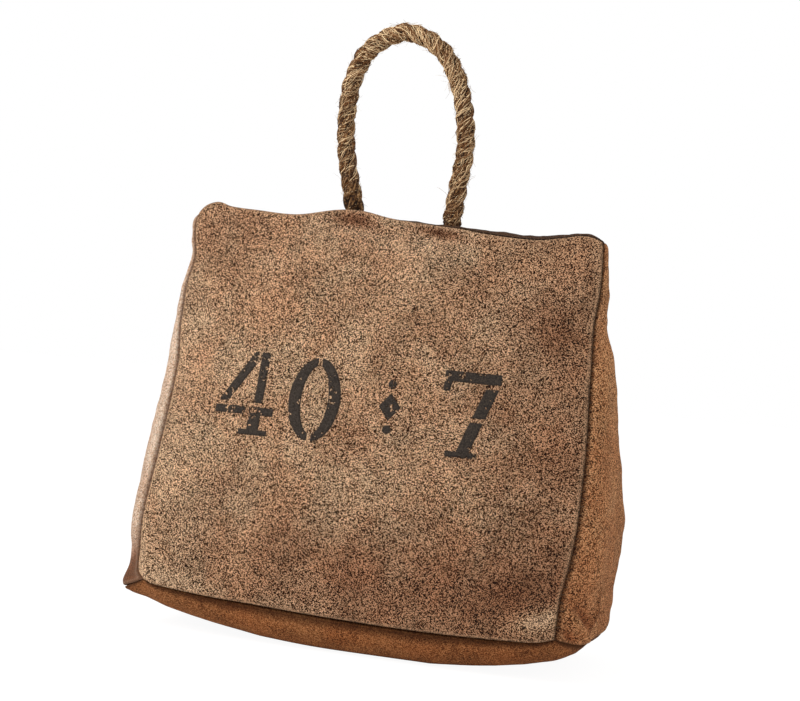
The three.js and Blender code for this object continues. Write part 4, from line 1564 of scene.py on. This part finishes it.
@dataclass
class StencilPrint:
    """The stencilled numerals and the ornament between them, as patches of paint on the front panel."""

    height: float = 46.0
    centre_x: float = -6.0
    centre_z: float = 137.0
    bridge: float = 2.4
    glyph_gap: float = 8.0
    ornament_gap: float = 22.0
    standoff: float = 0.16
    foot_standoff: float = 0.04
    spacing: float = 1.3
    four_share: float = 0.77
    nought_share: float = 0.65
    ornament_share: float = 0.27
    seven_share: float = 0.67
    thin_share: float = 0.095
    thick_share: float = 0.155
    serif_share: float = 0.065
    ring_points: int = 25
    dot_points: int = 24
    laying_rounds: int = 8

    def __post_init__(self) -> None:
        """Finds the widths of the strokes and the height of a foot."""
        self.thin = self.height * self.thin_share
        self.thick = self.height * self.thick_share
        self.serif = self.height * self.serif_share

    def four(self) -> list[Outline]:
        """The four: a diagonal, a bar to its left, and a stem whose foot carries the bar's right end."""
        height = self.height
        width = height * self.four_share
        stem_left = width * 0.6
        stem_right = stem_left + self.thick
        bar_low = height * 0.24
        bar_high = bar_low + self.thin
        above = bar_high + self.bridge
        foot_left = stem_left - self.thick * 0.7
        foot_right = stem_right + self.thick * 0.7
        stem_edge = stem_left + self.bridge * 0.8
        return [
            [(self.thin * 0.3, above), (self.thin * 1.6, above), (stem_left, height * 0.86),
             (stem_left, height), (stem_left - self.thin * 0.5, height)],
            [(0, bar_low), (stem_left - self.bridge, bar_low), (stem_left - self.bridge, bar_high),
             (0, bar_high)],
            [(stem_edge, above), (stem_right, above), (stem_right, height), (stem_edge, height)],
            [(stem_left, bar_high), (stem_left, self.serif), (foot_left, self.serif), (foot_left, 0),
             (foot_right, 0), (foot_right, self.serif), (stem_right, self.serif), (stem_right, bar_low),
             (width, bar_low), (width, bar_high)],
        ]

    def nought(self) -> list[Outline]:
        """The nought: two half rings, thick at their sides."""
        centre_x = self.height * self.nought_share / 2
        centre_y = self.height / 2
        clear = self.bridge / 2
        rings = []
        for side in (-1, 1):
            outer = []
            inner = []
            for angle in np.linspace(-math.pi / 2, math.pi / 2, self.ring_points):
                out_x = max(clear, centre_x * math.cos(angle))
                hole_x = max(clear, (centre_x - self.thick) * math.cos(angle))
                outer.append((centre_x + side * out_x, centre_y + centre_y * math.sin(angle)))
                inner.append((centre_x + side * hole_x, centre_y + (centre_y - self.thin) * math.sin(angle)))
            rings.append(outer + inner[::-1])
        return rings

    def seven(self) -> list[Outline]:
        """The seven: a top bar with a hanging serif, and a sloping stem in two lengths on a foot."""
        height = self.height
        width = height * self.seven_share
        bar_low = height - self.thick * 0.8
        stem_top = bar_low - self.bridge
        break_high = height * 0.47
        break_low = break_high - self.bridge
        foot_x = width * 0.34

        def stem(level: float) -> float:
            """Left edge of the stem at a level."""
            return foot_x + (width - self.thick * 1.1 - foot_x) * (level / stem_top)

        return [
            [(0, height * 0.76), (self.thin * 0.8, height * 0.76), (self.thin, bar_low), (width, bar_low),
             (width, height), (0, height)],
            [(stem(break_high), break_high), (stem(break_high) + self.thick, break_high),
             (stem(stem_top) + self.thick, stem_top), (stem(stem_top), stem_top)],
            [(stem(self.serif), self.serif), (foot_x - self.thick * 0.7, self.serif),
             (foot_x - self.thick * 0.7, 0), (foot_x + self.thick * 1.7, 0),
             (foot_x + self.thick * 1.7, self.serif), (stem(self.serif) + self.thick, self.serif),
             (stem(break_low) + self.thick, break_low), (stem(break_low), break_low)],
        ]

    def ornament(self) -> list[Outline]:
        """The ornament: a diamond with a dot above it and one below."""
        width = self.height * self.ornament_share
        centre_x = width / 2
        centre_y = self.height / 2
        half = width * 0.6
        radius = width * 0.19
        offset = half + self.bridge + radius
        angles = np.linspace(0, TURN, self.dot_points, endpoint=False)

        def dot(level: float) -> Outline:
            """Round dot at a level."""
            return [(centre_x + radius * math.cos(a), level + radius * math.sin(a)) for a in angles]

        diamond = [(0, centre_y), (centre_x, centre_y - half), (width, centre_y), (centre_x, centre_y + half)]
        return [diamond, dot(centre_y + offset), dot(centre_y - offset)]

    def patches(self) -> list[tuple[str, Outline]]:
        """Every patch with its node's name, about the print's own centre."""
        glyphs = (("four", self.four_share, self.glyph_gap, self.four()),
                  ("nought", self.nought_share, self.ornament_gap, self.nought()),
                  ("ornament", self.ornament_share, self.ornament_gap, self.ornament()),
                  ("seven", self.seven_share, 0.0, self.seven()))
        half = sum(self.height * share + gap for _, share, gap, _ in glyphs) / 2
        patches = []
        start = -half
        for name, share, gap, outlines in glyphs:
            for number, outline in enumerate(outlines, 1):
                moved = [(x + start, y - self.height / 2) for x, y in outline]
                patches.append((f"print_{name}_{number}", moved))
            start += self.height * share + gap
        return patches

    def build(self, bench: Bench, panel: LeatherPanel, material: Material) -> None:
        """Makes the paint patches, which follow every fold of the front panel.

        Args:
            bench: The mesh builder, and the bag's shape and filling.
            panel: The front panel.
            material: The paint.
        """
        patches = self.patches()
        for node, outline in patches:
            flat, faces = self.fill(outline)
            layers = [self.laid(bench, panel, flat, above) for above in (self.standoff, self.foot_standoff)]
            count = len(flat)
            solid = [tuple(face) for face in faces]
            solid += [tuple(at + count for at in face[::-1]) for face in faces]
            solid += [(b, a, a + count, b + count) for a, b in self.border(faces)]
            piece = bench.maker.build(node + "_paint", np.concatenate(layers), solid)
            dress(piece, material, node)
        LOG.info("stencil print: %d patches", len(patches))

    def fill(self, outline: Outline) -> tuple[Array, list]:
        """Flat patch of small triangles.

        Args:
            outline: The patch's corners, in order.

        Returns:
            Its points, and its triangles with their faces towards the viewer.
        """
        border = []
        for (x0, y0), (x1, y1) in zip(outline, outline[1:] + outline[:1]):
            pieces = max(1, math.ceil(math.hypot(x1 - x0, y1 - y0) / self.spacing))
            border += [(x0 + (x1 - x0) * at / pieces, y0 + (y1 - y0) * at / pieces) for at in range(pieces)]
        xs, ys = np.array(outline).T
        grid_x, grid_y = np.meshgrid(np.arange(xs.min(), xs.max(), self.spacing),
                                     np.arange(ys.min(), ys.max(), self.spacing))
        inside = [point for point in zip(grid_x.ravel(), grid_y.ravel())
                  if self.clearance(point, border) > self.spacing * 0.6]
        points = [Vector(point) for point in border + inside]
        loop = [(at, (at + 1) % len(border)) for at in range(len(border))]
        found = delaunay_2d_cdt(points, loop, [list(range(len(border)))], 1, 1e-5)
        flat = np.array([tuple(point) for point in found[0]])
        faces = []
        for face in found[2]:
            a, b, c = flat[face[0]], flat[face[1]], flat[face[2]]
            turned = (b[0] - a[0]) * (c[1] - a[1]) - (b[1] - a[1]) * (c[0] - a[0]) < 0
            faces.append(list(face[::-1]) if turned else list(face))
        return flat, faces

    @staticmethod
    def clearance(point: tuple[float, float], border: Outline) -> float:
        """Distance from a point to the nearest point of a border."""
        return min(math.hypot(point[0] - x, point[1] - y) for x, y in border)

    @staticmethod
    def border(faces: list) -> list[tuple[int, int]]:
        """Edges that only one triangle has, in its direction."""
        edges = {(a, b) for face in faces for a, b in zip(face, face[1:] + face[:1])}
        return sorted((a, b) for a, b in edges if (b, a) not in edges)

    def laid(self, bench: Bench, panel: LeatherPanel, flat: Array, above: float) -> Array:
        """Points of a flat patch laid on the front panel, a little above it."""
        shape = bench.shape
        x = self.centre_x + flat[:, 0]
        z = self.centre_z + flat[:, 1]
        u = np.full(len(flat), 0.5)
        v = u
        for _ in range(self.laying_rounds):
            points = shape.face(Face.FRONT, u, v)
            u = np.clip(u + (x - points[:, 0]) / shape.bottom_width, 0, 1)
            v = np.clip(v + (z - points[:, 2]) / shape.body_height, 0, 1)
        return panel.surface(bench, u, v)[0] - np.array([0, above, 0])


@dataclass
class Studio:
    """Pale floor, soft lights and the camera that the photograph was taken with."""

    target: tuple[float, float, float] = (0.0, 0.0, 120.0)
    azimuth: float = 16.0
    elevation: float = 4.0
    roll: float = 4.9
    distance: float = 1050.0
    focal_pixels: float = 1839.0
    image_width: float = 800.0
    target_left: float = 16.0
    target_low: float = 81.7
    sensor: float = 36.0
    far_clip: float = 20.0
    floor_size: float = 6.0
    floor_glow: float = 1.17
    glow_share: float = 0.8
    surroundings: float = 0.5
    aim: tuple[float, float, float] = (0.0, 0.0, 0.14)
    lamps: tuple[tuple[str, tuple[float, float, float], float, float], ...] = (
        ("key light", (-0.5, -0.47, 0.5), 0.4, 3.4),
        ("fill light", (1.5, -1.2, 0.8), 1.2, 7.0),
    )

    def build(self, shift: Array) -> None:
        """Makes the camera, the floor, the lights and the world.

        Args:
            shift: The place of the seams' middle in the row's frame, in millimetres.
        """
        self.camera(shift)
        self.floor()
        for lamp in self.lamps:
            self.light(*lamp)
        self.world()
        bpy.context.scene.view_settings.view_transform = "Standard"

    def camera(self, shift: Array) -> None:
        """Camera that keeps the bag's middle at its place in the picture, with no lens shift."""
        azimuth, elevation, roll = (math.radians(turn) for turn in (self.azimuth, self.elevation, self.roll))
        away = Vector((math.sin(azimuth) * math.cos(elevation), -math.cos(azimuth) * math.cos(elevation),
                       math.sin(elevation)))
        right = (-away).cross(Vector((0, 0, 1))).normalized()
        up = right.cross(-away)
        rolled_right = right * math.cos(roll) + up * math.sin(roll)
        rolled_up = up * math.cos(roll) - right * math.sin(roll)
        look = -away * self.focal_pixels + rolled_right * self.target_left + rolled_up * self.target_low
        look.normalize()
        side = look.cross(rolled_up).normalized()
        top = side.cross(look)
        data = bpy.data.cameras.new("camera")
        data.sensor_width = self.sensor
        data.lens = self.focal_pixels / self.image_width * self.sensor
        data.clip_end = self.far_clip
        camera = link("camera", data)
        place = (Vector(self.target) + Vector(shift) + away * self.distance) * MM
        turned = Matrix((side, top, -look)).transposed().to_4x4()
        camera.matrix_world = Matrix.Translation(place) @ turned
        bpy.context.scene.camera = camera

    def floor(self) -> None:
        """Pale floor that keeps the door stop's shadow."""
        half = self.floor_size / 2
        mesh = bpy.data.meshes.new("floor")
        corners = [(-half, -half, 0), (half, -half, 0), (half, half, 0), (-half, half, 0)]
        mesh.from_pydata(corners, [], [(0, 1, 2, 3)])
        floor = link("floor", mesh)
        material = bpy.data.materials.new("pale floor")
        material.use_nodes = True
        sheet = NodeSheet(material.node_tree)
        shader = sheet.add("ShaderNodeBsdfDiffuse", {"Color": (0.86, 0.85, 0.84, 1.0)})
        glow = sheet.add("ShaderNodeEmission", {"Color": (1.0, 1.0, 1.0, 1.0), "Strength": self.floor_glow})
        shown = sheet.math("MULTIPLY", self.seen(sheet), self.glow_share)
        mixed = sheet.add("ShaderNodeMixShader", {0: shown, 1: shader.outputs[0], 2: glow.outputs[0]})
        sheet.add("ShaderNodeOutputMaterial", {"Surface": mixed.outputs[0]})
        mesh.materials.append(material)

    def light(self, name: str, place: tuple[float, float, float], size: float, power: float) -> None:
        """Square lamp that faces the middle of the door stop."""
        data = bpy.data.lights.new(name, "AREA")
        data.size = size
        data.energy = power
        lamp = link(name, data)
        lamp.location = place
        lamp.rotation_mode = "QUATERNION"
        lamp.rotation_quaternion = (Vector(self.aim) - Vector(place)).to_track_quat("-Z", "Y")

    @staticmethod
    def seen(sheet: NodeSheet) -> Socket:
        """1 for rays from the camera and for reflected or refracted ones, otherwise 0."""
        path = sheet.add("ShaderNodeLightPath")
        seen = sheet.math("MAXIMUM", path.outputs["Is Camera Ray"], path.outputs["Is Glossy Ray"])
        return sheet.math("MAXIMUM", seen, path.outputs["Is Transmission Ray"])

    def world(self) -> None:
        """Even pale surroundings that show white to the camera."""
        world = bpy.data.worlds.new("surroundings")
        world.use_nodes = True
        bpy.context.scene.world = world
        sheet = NodeSheet(world.node_tree)
        soft = sheet.add("ShaderNodeBackground", {"Color": (1.0, 0.99, 0.97, 1.0),
                                                  "Strength": self.surroundings})
        white = sheet.add("ShaderNodeBackground", {"Color": (1.0, 1.0, 1.0, 1.0)})
        mixed = sheet.add("ShaderNodeMixShader", {0: self.seen(sheet), 1: soft.outputs[0],
                                                  2: white.outputs[0]})
        sheet.add("ShaderNodeOutputWorld", {"Surface": mixed.outputs[0]})


@dataclass
class SuedeBag:
    """The six leather panels, their stencil print and the hidden sack of sand."""

    shape: BagShape = field(default_factory=BagShape)
    filling: Filling = field(default_factory=Filling)
    rope_hole_radius: float = 6.1
    rope_hole_reach: float = 6.0
    front_suede: SuedeFinish = SuedeFinish(
        name="front suede", deep=(20, 10, 5), middle=(118, 75, 46), pale=(248, 206, 165),
        light=(240, 204, 168), warm=(224, 174, 140), dull=(224, 236, 240), edge=(206, 164, 128),
        edge_wear_and_highlight=0.6,
    )
    side_suede: SuedeFinish = SuedeFinish(
        name="side suede", deep=(44, 21, 9), middle=(180, 117, 75), pale=(250, 188, 134),
        light=(232, 172, 124), warm=(236, 190, 156), edge=(206, 156, 114), grain_scale=1900.0,
        sharpness=1.25, edge_wear_and_highlight=0.2,
    )
    # The left gusset's leather is the side leather painted lighter: painted light on the side turned to the
    # key lamp.
    lit_left_suede: SuedeFinish = SuedeFinish(
        name="lit left side suede", deep=(96, 62, 40), middle=(240, 192, 156), pale=(255, 244, 226),
        light=(252, 232, 208), warm=(236, 198, 170), edge=(224, 190, 158), sharpness=1.0, edge_wear_and_highlight=0.3,
    )
    base_suede: SuedeFinish = SuedeFinish(
        name="base suede", deep=(52, 26, 11), middle=(144, 86, 48), pale=(212, 146, 92),
        light=(198, 138, 92), warm=(230, 186, 156), edge=(156, 104, 68), sharpness=0.8, lie=0.08,
        edge_wear_and_highlight=0.2,
    )
    # The top panel's leather is the side leather painted darker: painted shade where the top strip lies
    # behind the front seam.
    shaded_top_suede: SuedeFinish = SuedeFinish(
        name="shaded top suede", deep=(26, 17, 12), middle=(66, 46, 34), pale=(128, 98, 74), light=(124, 94, 71),
        warm=(226, 184, 160), dull=(214, 200, 190), edge=(110, 84, 62), sharpness=0.5, edge_wear_and_highlight=0.3,
    )
    paint: PaintFinish = PaintFinish("stencil paint", (36, 32, 29), (70, 60, 52))
    thread: WovenFinish = WovenFinish("seam thread", (104, 76, 52), (50, 34, 22), 2200.0)
    cloth: WovenFinish = WovenFinish("sack cloth", (196, 186, 164), (150, 138, 116))

    def panels(self) -> list[tuple[LeatherPanel, SuedeFinish]]:
        """Every panel with its leather."""
        return [
            (self.front(), self.front_suede),
            (LeatherPanel("back_panel", Face.BACK, "front_suede", Relief(seed=23)), self.front_suede),
            (self.left(), self.lit_left_suede),
            (self.right(), self.side_suede),
            (self.base(), self.base_suede),
            (self.top(), self.shaded_top_suede),
        ]

    @staticmethod
    def top() -> LeatherPanel:
        """The top panel, which stands up past the front's lip on the right half only."""
        raised = SeamForm(
            ((0, 0.1), (0.45, 0.2), (0.56, 0.5), (0.68, 1.0), (0.85, 1.3), (0.96, 1.6), (1, 1.2))
        )
        return LeatherPanel("top_panel", Face.TOP, "side_suede", Relief(seed=61, broad=0.2), roll_depth=0.5,
                            roll_width=1.2, raised=raised)

    @staticmethod
    def base() -> LeatherPanel:
        """The base panel, which bulges under the floor seam."""
        corner = (Dent(3, 10, 12, 16, 1.5),)
        return LeatherPanel("base_panel", Face.BASE, "base_suede", Relief(seed=53, broad=0.5, dents=corner))

    @staticmethod
    def left() -> LeatherPanel:
        """The left gusset, with a fold beside the front's lower corner, and painted shade in that fold and
        over the lower corner.
        """
        tone_and_shade_spots = (Dent(8, 4, 15, 15, -1.7), Dent(2, 12, 3, 14, -0.7))
        dents = (Dent(3, 9, 3.5, 12, 2.2),)
        relief = Relief(seed=31, dents=dents, tone_and_shade_spots=tone_and_shade_spots)
        return LeatherPanel("left_gusset", Face.LEFT, "side_suede", relief, crease_shade=1.6)

    @staticmethod
    def front() -> LeatherPanel:
        """The front panel, hollow under the rope's feet and at its left edge."""
        dents = (
            Dent(91, 203, 13, 5, 2.2, -4), Dent(149, 204, 12, 4, 1.6, -4),
            Dent(9, 151, 12, 5, 1.5, -12), Dent(226, 160, 12, 26, 1.0),
            Dent(206, 22, 16, 9, 1.3, 6),
        )
        # Spots of tone: partly the leather's own patchy colour, partly painted shade under the rope's feet,
        # along the right side and at the lower right, and painted highlight at the lower right corner and low
        # at the left edge.
        tone_and_shade_spots = (
            Dent(222, 148, 20, 34, -0.2), Dent(221, 28, 21, 14, -0.36, 6),
            Dent(228, 11, 13, 5.5, 1.25, 8), Dent(22, 5, 26, 4, 0.4),
            Dent(2, 12, 2.2, 14, 0.6), Dent(120, 197, 60, 8, 0.2),
            Dent(10, 110, 14, 70, 0.12), Dent(22, 200, 22, 9, -0.25, 20),
            Dent(150, 18, 110, 34, -0.7), Dent(40, 185, 40, 30, -0.18),
            Dent(240, 100, 70, 110, -0.48), Dent(215, 180, 40, 24, -0.2),
            Dent(96, 205.5, 14, 3.4, -1.25, -3), Dent(147, 206, 16, 2.6, -1.15, -3),
            Dent(45, 62, 16, 12, -0.35, 30), Dent(88, 40, 14, 9, -0.3, -20),
            Dent(60, 20, 14, 8, 0.25, 10), Dent(120, 95, 26, 12, -0.16, 15),
            Dent(178, 70, 20, 12, 0.18, -20), Dent(14, 158, 14, 6, -0.35, -12),
        )
        relief = Relief(seed=11, dents=dents, tone_and_shade_spots=tone_and_shade_spots)
        raised = SeamForm(((0, 1.2), (0.1, 2.0), (0.4, 1.9), (0.55, 1.3), (0.7, 0.7), (0.9, 0.8), (1, 0.6)))
        return LeatherPanel("front_panel", Face.FRONT, "front_suede", relief, roll_depth=1.7, roll_width=1.5,
                            raised=raised, crease_shade=0.5)

    @staticmethod
    def right() -> LeatherPanel:
        """The right gusset, pleated at its lower front corner."""
        dents = (
            Dent(10, 8, 12, 2.0, -3.6, -38), Dent(12, 14, 10, 3.4, 3.0, -38),
            Dent(5, 3.5, 5, 2.4, 2.0, -38), Dent(20, 17, 1.8, 12, -1.6),
            Dent(25, 16, 2.8, 12, 1.6), Dent(8, 172, 5, 16, 0.9),
        )
        # Painted highlight and painted shade on the pleat's folds, and painted shade over the gusset's lower
        # part.
        tone_and_shade_spots = (
            Dent(10, 8, 11, 1.5, 0.55, -38), Dent(12.5, 13.5, 9, 2.4, -0.85, -38),
            Dent(5, 3, 5, 2.2, -0.8, -38), Dent(20, 19, 2.2, 13, -0.5),
            Dent(26, 18, 2.6, 12, 0.4), Dent(30, 20, 45, 26, -0.35),
        )
        relief = Relief(seed=47, dents=dents, tone_and_shade_spots=tone_and_shade_spots)
        return LeatherPanel("right_gusset", Face.RIGHT, "side_suede", relief, crease_shade=0.95)

    def build(self, maker: MeshMaker, shelf: GroupShelf, rope: RopeHandle) -> None:
        """Makes the panels, the print, the stitches and the sack.

        Args:
            maker: Mesh builder.
            shelf: The shared node groups.
            rope: The rope, which goes through the top panel and ends in the sack.
        """
        self.filling.settle(maker, self.shape)
        bench = Bench(maker, self.shape, self.filling)
        materials: dict[str, Material] = {}
        panels = []
        for panel, finish in self.panels():
            if finish.name not in materials:
                materials[finish.name] = finish.build(shelf)
            piece = panel.build(bench, materials[finish.name])
            panels.append(panel)
            if panel.face is Face.TOP:
                for middle, direction in rope.feet():
                    maker.cut(piece, middle, direction, self.rope_hole_radius, self.rope_hole_reach)
        StencilPrint().build(bench, panels[0], self.paint.build(shelf))
        SeamThread().build(bench, panels, self.thread.build(shelf))
        SandSack().build(bench, panels, rope.knots(), self.cloth.build(shelf))


def seam_shift(shape: BagShape) -> Array:
    """Place of the seams' middle in the row's frame, in millimetres."""
    share = np.linspace(0, 1, 400)
    left = shape.side_seam(-1, -1, share, 0.0)[:, 0].min()
    right = shape.side_seam(1, -1, share, 0.0)[:, 0].max()
    low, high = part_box("front_panel")
    return np.array([(low.x + high.x) / 2 / MM - (left + right) / 2, 0.0, 0.0])


def main() -> None:
    """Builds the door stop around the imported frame."""
    logging.basicConfig(level=logging.INFO)
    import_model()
    bag = SuedeBag()
    shift = seam_shift(bag.shape)
    LOG.info("seam shift %.3f mm", shift[0])
    maker = MeshMaker(shift)
    shelf = GroupShelf()
    Studio().build(shift)
    rope = RopeHandle(bag.shape.top_seam_height)
    bag.build(maker, shelf, rope)
    jute = RopeFinish("jute rope", (9, 5, 2), (42, 25, 12), (100, 66, 36), (172, 132, 88))
    rope.build(maker, jute.build(shelf))
    fibre = FibreFinish("jute fibre", (8, 4, 1), (134, 84, 41), (255, 222, 174)).build(shelf)
    rope.build_fibres(maker, fibre)
    rope.build_hairs(maker, fibre)


if __name__ == "__main__":
    main()
